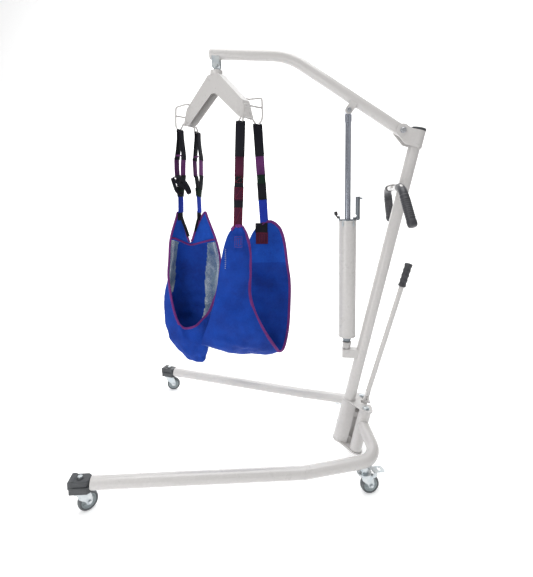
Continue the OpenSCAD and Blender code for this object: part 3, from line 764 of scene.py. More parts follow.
@dataclass
class Castor:
    """One swivel castor: pressed fork, tyre, hub, axle bolt and, at the rear, a brake pedal."""

    place: Layout
    finish: Finishes
    end: str
    side: str
    wheel_r: float = 37.5
    width: float = 26.0
    braked: bool = False

    @property
    def key(self) -> str:
        """End and side, as the nodes are named."""
        return f"{self.end}_{self.side}"

    def local(self) -> Matrix:
        """The castor's frame: X along the axle, Y towards the wheel, Z up."""
        stem = self.place.pos(f"swivel_{self.key}")
        return frame_at((stem.x, stem.y, 0.0), (0, 0, 1), self.place.axis(f"roll_{self.key}"))

    def axle(self) -> Matrix:
        """A frame at the wheel's middle with Z along the axle."""
        return frame_at(self.place.pos(f"roll_{self.key}"), self.place.axis(f"roll_{self.key}"), (0, 0, 1))

    def tyre(self) -> None:
        """Crowned tread with moulded side beads."""
        r, w = self.wheel_r * MM, self.width / 2 * MM
        profile = [(0.0280, -w * 0.80), (0.0292, -w * 0.98), (0.0320, -w), (0.0345, -w * 0.95),
                   (r - 0.0018, -w * 0.72), (r - 0.0004, -w * 0.45), (r, -w * 0.18), (r, w * 0.18),
                   (r - 0.0004, w * 0.45), (r - 0.0018, w * 0.72),
                   (0.0345, w * 0.95), (0.0320, w), (0.0292, w * 0.98), (0.0280, w * 0.80)]
        piece = Shape().lathe(self.axle(), profile, 64, closed=True).piece(
            f"tread_{self.key}", f"wheel_{self.key}", "tyre_rubber", [self.finish["tyre_rubber"]],
            crease=60)
        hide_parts(f"tyre_{self.key}")

    def hub(self) -> None:
        """Moulded centre with a recessed web, ribs and bearing covers."""
        w = self.width / 2 * MM
        rim = [(0.0041, -w - 0.001), (0.0085, -w - 0.001), (0.0105, -w + 0.001), (0.0112, -w + 0.0045),
               (0.0215, -w + 0.0055),
               (0.0245, -w + 0.0028), (0.0262, -w + 0.0018), (0.0279, -w + 0.0022)]
        profile = rim + [(r, -z) for r, z in reversed(rim)]
        shape = Shape().lathe(self.axle(), profile, 48, closed=True)
        for face in (-1, 1):
            for k in range(6):
                turn = self.axle() @ Matrix.Rotation(math.radians(60 * k), 4, "Z")
                z0, z1 = sorted((face * (w - 0.0085), face * (w - 0.0032)))
                shape.prism(turn,
                            rounded([(0.0095, -0.0013), (0.0225, -0.0013), (0.0225, 0.0013),
                                     (0.0095, 0.0013)], 0.0006),
                            z0, z1, 0.0004)
        piece = shape.piece(f"wheel_centre_{self.key}", f"wheel_{self.key}", "hub_plastic",
                            [self.finish["hub_plastic"]])
        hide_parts(f"hub_{self.key}")

    def fork(self) -> None:
        """Pressed crown and cheeks, ball race, axle bolt and nut."""
        here, zinc = self.local(), self.finish["zinc"]
        cheek = [(-19, 80.5), (-6, 81), (10, 81), (25, 80.5), (31, 72), (36.5, 52), (37.2, 38),
                 (34, 29.5), (25, 26.5),
                 (16, 29.5), (12.5, 38), (8, 46), (-4, 55), (-14, 64)]
        shape = Shape()
        for sign in (-1, 1):
            side = here @ Matrix(((0, 0, 1, 0), (1, 0, 0, 0), (0, 1, 0, 0), (0, 0, 0, 1)))
            inner, outer = sorted((sign * 15.5 * MM, sign * 18.0 * MM))
            shape.prism(side, rounded([(y * MM, z * MM) for y, z in cheek], 0.006, 5), inner, outer, 0.0008)
        top = [(-18, -19.5), (18, -19.5), (18, 24.5), (-18, 24.5)]
        shape.prism(here, rounded([(x * MM, y * MM) for x, y in top], 0.007, 5), 0.0775, 0.0808, 0.0010)
        shape.lathe(here,
                    [(0.0062, 0.0800), (0.0225, 0.0800), (0.0240, 0.0815), (0.0235, 0.0842),
                     (0.0205, 0.0856), (0.0062, 0.0856)], 44)
        nut = [(0.0, 0.0735), (0.0085, 0.0735), (0.0105, 0.0755), (0.0105, 0.0776), (0.0, 0.0776)]
        shape.lathe(here, nut, 28)
        axle = self.axle()
        shape.lathe(axle, [(0.0, -0.0176), (0.0040, -0.0176), (0.0040, 0.0176), (0.0, 0.0176)], 20)
        for sign in (-1, 1):
            z0, z1 = sorted((sign * 0.0179, sign * 0.0192))
            shape.lathe(axle,
                        [(0.0, z0), (0.0082, z0), (0.0085, z0 + 0.0003), (0.0085, z1 - 0.0003),
                         (0.0082, z1), (0.0, z1)], 30)
            z0, z1 = sorted((sign * 0.0191, sign * 0.0236))
            shape.prism(axle, rounded(hexagon(0.0125), 0.0006, 2), z0, z1, 0.0007)
        piece = shape.piece(f"castor_fork_{self.key}", f"castor_{self.key}", "zinc", [zinc])
        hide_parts(f"fork_{self.key}")

    def pedal(self) -> None:
        """Slotted brake pedal with rolled edges and hinge ears."""
        here = self.local()
        outer = [(-17.5, 48), (-20, 40), (-13, 34), (13, 34), (20, 40), (17.5, 48), (19, 66), (18.5, 80),
                 (12, 84.5),
                 (-12, 84.5), (-18.5, 80), (-19, 66)]
        slot = [(-10.5, 58), (10.5, 58), (11.5, 62), (10.5, 70), (-10.5, 70), (-11.5, 62)]
        shape = Shape()
        ring_o = [(x * MM, y * MM) for x, y in outer]
        ring_o = rounded(ring_o, 0.005, 4)
        count = len(ring_o)
        flat = rounded([(x * MM, y * MM) for x, y in slot], 0.003, count // 6 - 1)
        centre = Vector((0.0, 0.064))

        def turn_order(p: Point) -> float:
            """Angle of a point round the slot's middle."""
            return math.atan2(p[1] - centre.y, p[0] - centre.x)

        ring_o = sorted(ring_o, key=turn_order)
        ring_i = [self.ray_to(flat, centre, turn_order(p)) for p in ring_o]

        def lift(p: Point, z: float) -> Vector:
            """A pedal point, bent down at its free end."""
            droop = max(0.0, p[1] - 0.060)
            return here @ Vector((p[0], p[1], z - droop * droop * 5.5))

        levels = ((ring_i, 0.0892), (ring_i, 0.0922), (ring_o, 0.0922), (ring_o, 0.0892))
        rings = [[lift(p, z) for p in ring] for ring, z in levels]
        shape.rings(rings, closed=True)
        for sign in (-1, 1):
            side = here @ Matrix(((0, 0, 1, 0), (1, 0, 0, 0), (0, 1, 0, 0), (0, 0, 0, 1)))
            inner, outer_x = sorted((sign * 20.4 * MM, sign * 23.2 * MM))
            ear = [(25, 75), (33, 71.5), (43, 76), (47, 86), (45, 92.2), (30, 92.2), (25.5, 84)]
            shape.prism(side, rounded([(y * MM, z * MM) for y, z in ear], 0.003), inner, outer_x, 0.0006)
            shape.prism(here,
                        [(sign * 0.0120, 0.036), (sign * 0.0230, 0.036), (sign * 0.0230, 0.0455),
                         (sign * 0.0120, 0.0455)],
                        0.0894, 0.0920, 0.0004)
            pin = here @ Matrix.Translation((0, 0.032, 0.082)) @ Matrix.Rotation(math.radians(90), 4, "Y")
            z0, z1 = sorted((sign * 0.0230, sign * 0.0246))
            rivet = [(0.0, z0), (0.0034, z0), (0.0040, (z0 + z1) / 2), (0.0034, z1), (0.0, z1)]
            shape.lathe(pin, rivet, 20)
        piece = shape.piece(f"brake_pedal_{self.side}", f"brake_{self.key}", "zinc",
                            [self.finish["zinc"]], crease=30)
        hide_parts(f"pedal_{self.side}")

    @staticmethod
    def ray_to(outline: Sequence[Point], centre: Vector, angle: float) -> tuple[float, float]:
        """Where a ray from the centre meets an outline.

        Args:
            outline: The closed outline.
            centre: The ray's start.
            angle: The ray's direction.

        Returns:
            The point on the outline.
        """
        d = Vector((math.cos(angle), math.sin(angle)))
        for a, b in zip(outline, list(outline[1:]) + [outline[0]]):
            pa, e = Vector(a) - centre, Vector(b) - Vector(a)
            det = d.x * -e.y + d.y * e.x
            if abs(det) < 1e-12:
                continue
            t = (pa.x * -e.y + pa.y * e.x) / det
            s = (d.x * pa.y - d.y * pa.x) / det
            if t > 0 and -1e-6 <= s <= 1 + 1e-6:
                return centre.x + d.x * t, centre.y + d.y * t
        return centre.x + d.x * 0.005, centre.y + d.y * 0.005

    def build(self) -> None:
        """Build every piece."""
        self.tyre()
        self.hub()
        self.fork()
        if self.braked:
            self.pedal()


@dataclass
class Leg:
    """One base leg: its front cap and the small things on it."""

    place: Layout
    finish: Finishes
    side: str
    front: tuple[float, float] = (484.0, -930.0)
    bend: tuple[float, float] = (322.0, -142.0)

    def build(self) -> None:
        """Dress the tube and build the cap."""
        f, s = self.finish, self.side
        f.dress([f"leg_tube_{s}", f"leg_sleeve_{s}"], "paint")
        f.dress([f"front_plate_{s}", f"rear_plate_{s}"], "zinc")
        self.cap()

    def cap(self) -> None:
        """Stepped moulded cap with chamfered corners, a raised lug and its bolt."""
        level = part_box(f"end_cap_{self.side}")[0].z
        stem = self.place.pos(f"swivel_front_{self.side}")
        sign = 1 if self.side == "right" else -1
        run = (self.front[0] - self.bend[0], self.front[1] - self.bend[1])
        heading = Vector((sign * run[0], run[1], 0)).normalized()
        here = frame_at((stem.x, stem.y, level), (0, 0, 1), Vector((heading.y, -heading.x, 0)))

        def plan(w: float, front: float, back: float, cut: float) -> list[tuple[float, float]]:
            """Plan of one tier of the cap, its front corners cut off.

            Args:
                w: Half width.
                front: Reach ahead of the stem.
                back: Reach behind it.
                cut: Size of the corner cut.

            Returns:
                The outline in metres, Y to the rear.
            """
            pts = [(-w, back), (-w, -front + cut), (-w + cut, -front), (w - cut, -front),
                   (w, -front + cut), (w, back)]
            return rounded([(x * MM, y * MM) for x, y in pts], 0.0025, 3)

        shape = Shape()
        shape.prism(here, plan(31, 44, 33, 12), 0.0, 0.0265, 0.0022)
        shape.prism(here, plan(27, 38, 38, 10), 0.0255, 0.0475, 0.0030)
        shape.prism(here, plan(28.5, -16, 37.5, 4), 0.020, 0.0500, 0.0022)
        for x in (-30.2, 30.2):
            rib = [((x - 1.2) * MM, -0.030), ((x + 1.2) * MM, -0.030), ((x + 1.2) * MM, 0.028),
                   ((x - 1.2) * MM, 0.028)]
            shape.prism(here, rib, 0.004, 0.0235, 0.0008)
        shape.lathe(here,
                    [(0.0, 0.0470), (0.0128, 0.0470), (0.0136, 0.0480), (0.0136, 0.0488),
                     (0.0125, 0.0500), (0.0, 0.0500)], 36)
        piece = shape.piece(f"toe_cap_{self.side}", f"leg_{self.side}", "cap_plastic",
                            [self.finish["cap_plastic"]], crease=28)
        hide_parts(f"end_cap_{self.side}")
        bolt = Shape()
        bolt.prism(here, rounded(hexagon(0.0165), 0.0008, 2), 0.0495, 0.0550, 0.0010)
        bolt.piece(f"toe_bolt_{self.side}", f"leg_{self.side}", "zinc", [self.finish["zinc"]])


@dataclass
class Grip:
    """Moulded grip pushed over a tube's end, with bands and a rounded end."""

    place: Layout
    finish: Finishes
    name: str
    body: str
    node: str
    start: Vector
    end: Vector
    radius: float = 18.2
    core: float = 12.5

    def build(self) -> None:
        """Build the grip along its line."""
        length = (self.end - self.start).length
        here = frame_at(self.start, self.end - self.start)
        r, c = self.radius * MM, self.core * MM
        profile = [(c, 0.0), (r - 0.0020, 0.0), (r, 0.0022), (r + 0.0004, 0.006), (r, 0.010)]
        z, step = 0.018, 0.0085
        while z < length - 0.034:
            profile += [(r, z), (r + 0.0009, z + 0.0012), (r + 0.0009, z + 0.0048), (r, z + 0.0060)]
            z += step
        bulge = ((1.0, length - 0.030), (1.07, length - 0.026), (1.09, length - 0.020),
                 (1.07, length - 0.012),
                 (0.98, length - 0.005), (0.80, length - 0.0012), (0.55, length + 0.0006),
                 (0.0, length + 0.0012))
        profile += [(r * k, at) for k, at in bulge]
        profile += [(0.0, length - 0.006), (c, length - 0.006)]
        piece = Shape().lathe(here, profile, 44, closed=True).piece(
            self.name, self.body, "grip_rubber", [self.finish["grip_rubber"]], crease=50)
        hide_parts(self.node)


@dataclass
class Mast:
    """Mast, head bracket, base socket, plates and push handle."""

    place: Layout
    finish: Finishes
    top: float = 1490.0
    handle_corner: tuple[float, float, float] = (150.0, -39.0, 1236.0)
    handle_end: tuple[float, float, float] = (215.0, 22.0, 1098.0)
    sleeve_radius: float = 0.0172

    def bolt(self, shape: Shape, here: Matrix, size: float, washer: float = 0.0,
             height: float = 0.0) -> None:
        """Add a hexagon head on an optional washer, standing on a frame's XY plane.

        Args:
            shape: The shape to add to.
            here: The frame.
            size: Width across flats in metres.
            washer: The washer's radius, or 0.
            height: The head's height, or 0 for the usual share of its size.
        """
        base = 0.0
        if washer:
            shape.lathe(here,
                        [(0.0, 0.0), (washer, 0.0), (washer, 0.0016), (washer - 0.0004, 0.0020),
                         (0.0, 0.0020)], 36)
            base = 0.0018
        top = base + (height or size * 0.42)
        shape.prism(here, rounded(hexagon(size), 0.0008, 2), base, top - 0.0006, 0.0009)
        shape.lathe(here,
                    [(0.0, top - 0.0010), (size * 0.47, top - 0.0010), (size * 0.42, top),
                     (0.0, top + 0.0003)], 30)

    def bead(self, name: str, body: str, points: Sequence[Point], closed: bool = True,
             radius: float = 0.0024) -> None:
        """A painted weld bead with ripples.

        Args:
            name: The piece's name.
            body: The body that it rides on.
            points: Points along the weld.
            closed: The weld is a loop.
            radius: The bead's radius.
        """
        count = len(points)
        ripple = [1.0 + 0.10 * math.sin(k * 2.1) + 0.12 * noise.noise(Vector((k * 0.37, 1.7, 0.0)))
                  for k in range(count)]
        Shape().sweep(points, circle(radius, 10), closed=closed, scale=ripple).piece(
            name, body, "paint", [self.finish["weld_paint"]], crease=80)

    def ring(self, here: Matrix, radius: float, count: int = 90, z: float = 0.0) -> list[Vector]:
        """Points round a circle in a frame."""
        return [here @ Vector((x, y, z)) for x, y in circle(radius, count)]

    def cap(self) -> None:
        """Thick moulded cap that overhangs the mast's top a little."""
        here = self.place.mast_frame(0, 0, self.top)
        profile = [(0.0, 0.0), (0.0290, 0.0), (0.0305, 0.0010), (0.0310, 0.0030), (0.0308, 0.0078),
                   (0.0292, 0.0098),
                   (0.0220, 0.0108), (0.0070, 0.0114), (0.0, 0.0115)]
        piece = Shape().lathe(here, profile, 56).piece("mast_top_cap", "mast", "cap_plastic",
                                                       [self.finish["cap_plastic"]], 50)
        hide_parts("mast_cap")

    def head(self) -> None:
        """Pivot bolt, its washers and nut."""
        place = self.place
        across = place.mast_frame(0, -66, 1474) @ Matrix.Rotation(math.radians(90), 4, "Y")
        shape = Shape()
        shape.lathe(across, [(0.0, -0.0312), (0.0060, -0.0312), (0.0060, 0.0312), (0.0, 0.0312)], 28)
        self.bolt(shape, across @ Matrix.Translation((0, 0, 0.0310)), 0.0190, 0.0125, 0.0075)
        flip = across @ Matrix.Rotation(math.pi, 4, "X")
        self.bolt(shape, flip @ Matrix.Translation((0, 0, 0.0310)), 0.0190, 0.0125, 0.0098)
        piece = shape.piece("head_pivot_bolt", "mast", "bolt_steel", [self.finish["bolt_steel"]])
        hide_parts("boom_pivot_bolt")

    def base(self) -> None:
        """Pivot bolts and the welds round the mast and socket."""
        shape = Shape()
        for x in (-56, 56):
            top = self.place.mast_frame(x, 67, 268)
            shape.lathe(self.place.mast_frame(x, 67, 64),
                        [(0.0, 0.0), (0.0099, 0.0), (0.0099, 0.204), (0.0, 0.204)], 32)
            self.bolt(shape, top, 0.0240, 0.0165, 0.0060)
            low = self.place.mast_frame(x, 67, 64) @ Matrix.Rotation(math.pi, 4, "X")
            self.bolt(shape, low, 0.0240, 0.0165, 0.0060)
        piece = shape.piece("leg_pivot_bolts", "mast", "bolt_steel", [self.finish["zinc"]])
        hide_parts("leg_pins")
        mast = self.place.mast_frame(0, 0, 268)
        self.bead("weld_mast_plate", "mast", self.ring(mast, 0.0262, 96, 0.0004))
        under = self.place.mast_frame(0, 0, 262)
        half = [under @ Vector((0.0297 * math.cos(t), 0.0297 * math.sin(t), -0.0006))
                for t in np.linspace(math.radians(180), math.radians(360), 60)]
        self.bead("weld_socket_top", "mast", half, closed=False, radius=0.0021)
        low = self.place.mast_frame(0, 0, 70)
        half = [low @ Vector((0.0297 * math.cos(t), 0.0297 * math.sin(t), 0.0006))
                for t in np.linspace(math.radians(180), math.radians(360), 60)]
        self.bead("weld_socket_low", "mast", half, closed=False, radius=0.0021)

    def build(self) -> None:
        """Dress the CAD nodes and build the rest."""
        f = self.finish
        f.dress(["mast_tube", "head_bracket", "base_socket", "top_plate", "bottom_plate", "lever_bracket",
                 "jack_foot_bracket", "push_handle"], "paint")
        self.cap()
        self.head()
        self.base()
        self.handle()

    def handle(self) -> None:
        """Grips of the push handle, their bent sleeves and the plate between them."""
        f, place = self.finish, self.place
        across, back, along_mast = self.handle_corner
        for side, sign in (("right", 1), ("left", -1)):
            bend = place.on_mast(sign * across, back, along_mast)
            end = place.on_mast(sign * self.handle_end[0], *self.handle_end[1:])
            along = (end - bend).normalized()
            Grip(place, f, f"hand_grip_{side}", "mast", f"grip_{side}", bend + along * 0.034,
                 end + along * 0.0055).build()
            path = self.round_corner(bend + along * 0.037, bend, bend + Vector((-sign, 0, 0)) * 0.058)
            Shape().sweep(path, circle(self.sleeve_radius, 28),
                          scale=[0.97] + [1.0] * 16 + [0.98, 0.84]).piece(
                f"grip_sleeve_{side}", "mast", "grip_rubber", [f["grip_rubber"]], crease=50)
        half, rise, droop = 96, 13.0, 5.0
        bow = [place.on_mast(x, back, along_mast + rise - droop * (x / half) ** 4)
               for x in np.linspace(-half, half, 25)]
        plate = [(0.0165, -0.0012), (0.0150, 0.0016), (-0.0150, 0.0016), (-0.0165, -0.0012),
                 (-0.0150, -0.0026),
                 (0.0150, -0.0026)]
        Shape().sweep(bow, plate, up=[place.mast_up] * len(bow)).piece(
            "handle_top_plate", "mast", "paint", [f["weld_paint"]], crease=40)

    @staticmethod
    def round_corner(start: Vector, corner: Vector, stop: Vector, steps: int = 18,
                     pull: float = 0.36) -> list[Vector]:
        """A smooth bend from one point to another by way of a corner.

        Args:
            start: First point.
            corner: The corner, which the bend cuts.
            stop: Last point.
            steps: Points, less one.
            pull: How far the bend stays from the corner.

        Returns:
            The points.
        """
        path = []
        for k in range(steps + 1):
            t = k / steps
            p = start * (1 - t) ** 3 + (start + (corner - start) * (1 - pull)) * (3 * t * (1 - t) ** 2)
            path.append(p + (stop + (corner - stop) * (1 - pull)) * (3 * t * t * (1 - t)) + stop * t ** 3)
        return path


@dataclass
class BaseLever:
    """Lever that spreads the legs, with its notched grip."""

    place: Layout
    finish: Finishes
    lean: float = 2.8
    tube: float = 622.0

    def build(self) -> None:
        """Dress the lever and build its grip."""
        self.finish.dress(["lever_crank", "lever_tube_node"], "paint")
        pivot = self.place.pos("base_lever")
        turn = Matrix.Rotation(math.radians(-self.lean), 3, "X")
        along = turn @ self.place.mast_up
        here = frame_at(pivot + along * ((self.tube - 11) * MM), along, (1, 0, 0))
        profile = [(0.0111, 0.0), (0.0150, 0.0), (0.0168, 0.0025), (0.0170, 0.0060)]
        for k in range(4):
            z = 0.008 + 0.0225 * k
            profile += [(0.0170, z), (0.0158, z + 0.0035), (0.0146, z + 0.0100), (0.0158, z + 0.0170),
                        (0.0170, z + 0.0205)]
        profile += [(0.0170, 0.0990), (0.0165, 0.1030), (0.0140, 0.1060), (0.0090, 0.1072), (0.0, 0.1076),
                    (0.0, 0.0150), (0.0111, 0.0150)]
        piece = Shape().lathe(here, profile, 40, closed=True).piece(
            "lever_hand_grip", "lever", "grip_rubber", [self.finish["grip_rubber"]], crease=55)
        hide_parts("lever_grip")


@dataclass
class Boom:
    """Bent boom with its brackets and closed tip."""

    place: Layout
    finish: Finishes
    tip_rise: float = 3.9

    def build(self) -> None:
        """Dress the nodes and build the tip plug and pin heads."""
        f = self.finish
        f.dress(["boom_tube", "boom_jack_bracket"], "paint")
        f.dress(["boom_tip_bracket"], "zinc")
        rise = math.radians(self.tip_rise)
        along = Vector((0, -math.cos(rise), math.sin(rise)))
        tip_pin = self.place.pos("hanger_level")
        end = tip_pin + Vector((0, -26, 55)) * MM
        here = frame_at(end - along * 0.0030, along, (1, 0, 0))
        profile = [(0.0, 0.0), (0.0225, 0.0), (0.0225, 0.0022), (0.0247, 0.0026), (0.0249, 0.0036),
                   (0.0240, 0.0050),
                   (0.0190, 0.0060), (0.0, 0.0064)]
        Shape().lathe(here, profile, 48).piece("boom_tip_plug", "boom", "paint", [f["paint"]], 50)
        self.pin_heads()

    def pin_heads(self) -> None:
        """Heads of the pin that holds the ram, one on each side of its bracket."""
        f = self.finish
        bracket_lo, bracket_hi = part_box("boom_jack_bracket")
        pin = self.place.pos("ram_pivot")
        heads = Shape()
        for x, way in ((bracket_hi.x, 1), (bracket_lo.x, -1)):
            Mast(self.place, f).bolt(heads, frame_at((x, pin.y, pin.z), (way, 0, 0)), 0.014, 0.0105)
        heads.piece("ram_pin_heads", "boom", "bolt_steel", [f["bolt_steel"]], 40)


@dataclass
class Jack:
    """Hydraulic jack: shroud, pump head, lever socket, release knob and ram."""

    place: Layout
    finish: Finishes
    shroud_top: float = 544.0

    def frame(self) -> Matrix:
        """The jack's frame: Z up the ram, X across, Y towards the mast."""
        ball, pin = self.place.pos("jack_tilt"), self.place.pos("ram_pivot")
        return frame_at(ball, pin - ball, (1, 0, 0))

    def at(self, x: float, y: float, z: float) -> Vector:
        """A point of the jack's frame, given in millimetres."""
        return self.frame() @ (Vector((x, y, z)) * MM)

    def head(self) -> None:
        """Rims of the shroud, clips round its rim and the release knob."""
        f, top, here = self.finish, self.shroud_top, self.frame()
        shape = Shape()
        profile = [(0.0362, (top - 7) * MM), (0.0386, (top - 7) * MM), (0.0390, (top - 6) * MM),
                   (0.0390, (top - 0.6) * MM),
                   (0.0384, top * MM), (0.0362, top * MM)]
        shape.lathe(here, profile, 60, closed=True)
        profile = [(0.0362, 24 * MM), (0.0386, 24 * MM), (0.0390, 25 * MM), (0.0390, 31 * MM),
                   (0.0384, 32 * MM), (0.0362, 32 * MM)]
        shape.lathe(here, profile, 60, closed=True)
        shape.piece("shroud_rims", "jack", "paint", [f["paint"]])
        clips = Shape()
        for degrees in (35, 145, 215, 325):
            turn = here @ Matrix.Rotation(math.radians(degrees), 4, "Z")
            side = turn @ Matrix.Translation((0.0388, 0,
                                              (top - 14) * MM)) @ Matrix.Rotation(math.radians(90), 4, "Y")
            clips.prism(side,
                        rounded([(-0.016, -0.004), (0.010, -0.004), (0.010, 0.004), (-0.016, 0.004)],
                                0.0015), 0.0, 0.0018, 0.0004)
            clips.lathe(side,
                        [(0.0, 0.0015), (0.0026, 0.0015), (0.0026, 0.0032), (0.0018, 0.0038),
                         (0.0, 0.0038)], 18)
        clips.piece("shroud_clips", "jack", "zinc", [f["zinc"]])
        knob = Shape()
        path = [self.at(0, -36, top + 12), self.at(0, -42, top + 14), self.at(0, -47, top + 18),
                self.at(0, -49, top + 24)]
        knob.sweep(smooth_row(np.array(path), 12).tolist(), circle(0.0034, 12))
        grip = frame_at(self.at(0, -49.0, top + 22),
                        self.at(0, -52, top + 40) - self.at(0, -49, top + 22), (1, 0, 0))
        knob.lathe(grip,
                   [(0.0, 0.0), (0.0060, 0.0), (0.0074, 0.0015), (0.0080, 0.006), (0.0078, 0.013),
                    (0.0066, 0.0175), (0.0, 0.0190)], 30)
        root = self.at(0, -38, top + 14)
        hub = frame_at(root, self.at(0, -48, top + 14) - root, (1, 0, 0))
        knob.lathe(hub,
                   [(0.0, -0.004), (0.0050, -0.004), (0.0062, 0.0), (0.0062, 0.0065), (0.0050, 0.0080),
                    (0.0, 0.0080)], 28)
        piece = knob.piece("release_valve_knob", "release", "knob_plastic", [f["knob_plastic"]])
        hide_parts("release_knob")

    def foot(self) -> None:
        """Painted ribbed boot over the ball joint at the jack's foot."""
        ball = frame_at(self.place.pos("jack_tilt"), (0, 0, 1), (1, 0, 0))
        profile = [(0.0152, -0.030), (0.0168, -0.0295), (0.0176, -0.026), (0.0165, -0.0225),
                   (0.0186, -0.019), (0.0172, -0.0155),
                   (0.0196, -0.012), (0.0184, -0.0085), (0.0206, -0.005), (0.0200, -0.0015),
                   (0.0172, -0.0015), (0.0152, -0.006)]
        Shape().lathe(ball, profile, 44, closed=True).piece("jack_foot_boot", "mast", "paint",
                                                            [self.finish["weld_paint"]], 60)

    def build(self) -> None:
        """Dress the nodes and build the details."""
        f = self.finish
        f.dress(["jack_shroud"], "paint")
        f.dress(["jack_foot_eye", "pump_lever_socket"], "pump_steel")
        f.dress(["jack_pump"], "pump_steel")
        f.dress(["jack_ram"], "ram_steel")
        self.head()
        self.foot()


@dataclass
class Cradle:
    """Two-point cradle with its wire hooks, below the boom's swivel."""

    place: Layout
    finish: Finishes
    yaw: float = 60.0
    reach: float = 188.0
    side: float = 45.0
    wire_radius: float = 0.0042

    def build(self) -> None:
        """Dress the nodes and bend the hooks."""
        f = self.finish
        f.dress(["swivel_link"], "zinc")
        f.dress(["spreader"], "paint")
        self.hooks()

    def hooks(self) -> None:
        """Painted wire hooks, a closed loop and an open one on each arm."""
        tip = self.place.pos("hanger_level")
        turn = Matrix.Rotation(math.radians(self.yaw), 3, "Z")
        reach, side = self.reach, self.side
        loop = [(reach - 44, side - 14, -151), (reach - 40, side, -152), (reach + 20, side, -157),
                (reach + 28, side, -166),
                (reach + 30, side, -205), (reach + 30, side, -238), (reach + 22, side, -254),
                (reach + 4, side, -266.5),
                (reach - 12, side, -250), (reach - 22, side, -238), (reach - 26, side - 14, -233)]
        cross = [(reach + 28, side, -196), (reach + 20, side - 30, -197), (reach + 14, -side - 2, -198),
                 (reach + 12, -side - 8, -206), (reach + 6, -side - 8, -250), (reach + 2, -side - 7, -261),
                 (reach - 10, -side - 3, -264), (reach - 23, -side, -262), (reach - 26, -side + 14, -241)]
        for name, flip in (("near", 1.0), ("far", -1.0)):
            shape = Shape()
            for wire in (loop, cross):
                pts = [tip + turn @ Vector((flip * x, flip * y, z)) * MM
                       for x, y, z in smooth_row(np.array(wire, float), 64)]
                shape.sweep(pts, circle(self.wire_radius, 14))
            piece = shape.piece(f"strap_hooks_{name}", "cradle", "zinc", [self.finish["weld_paint"]], 60)
            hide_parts(f"hook_wire_{name}")


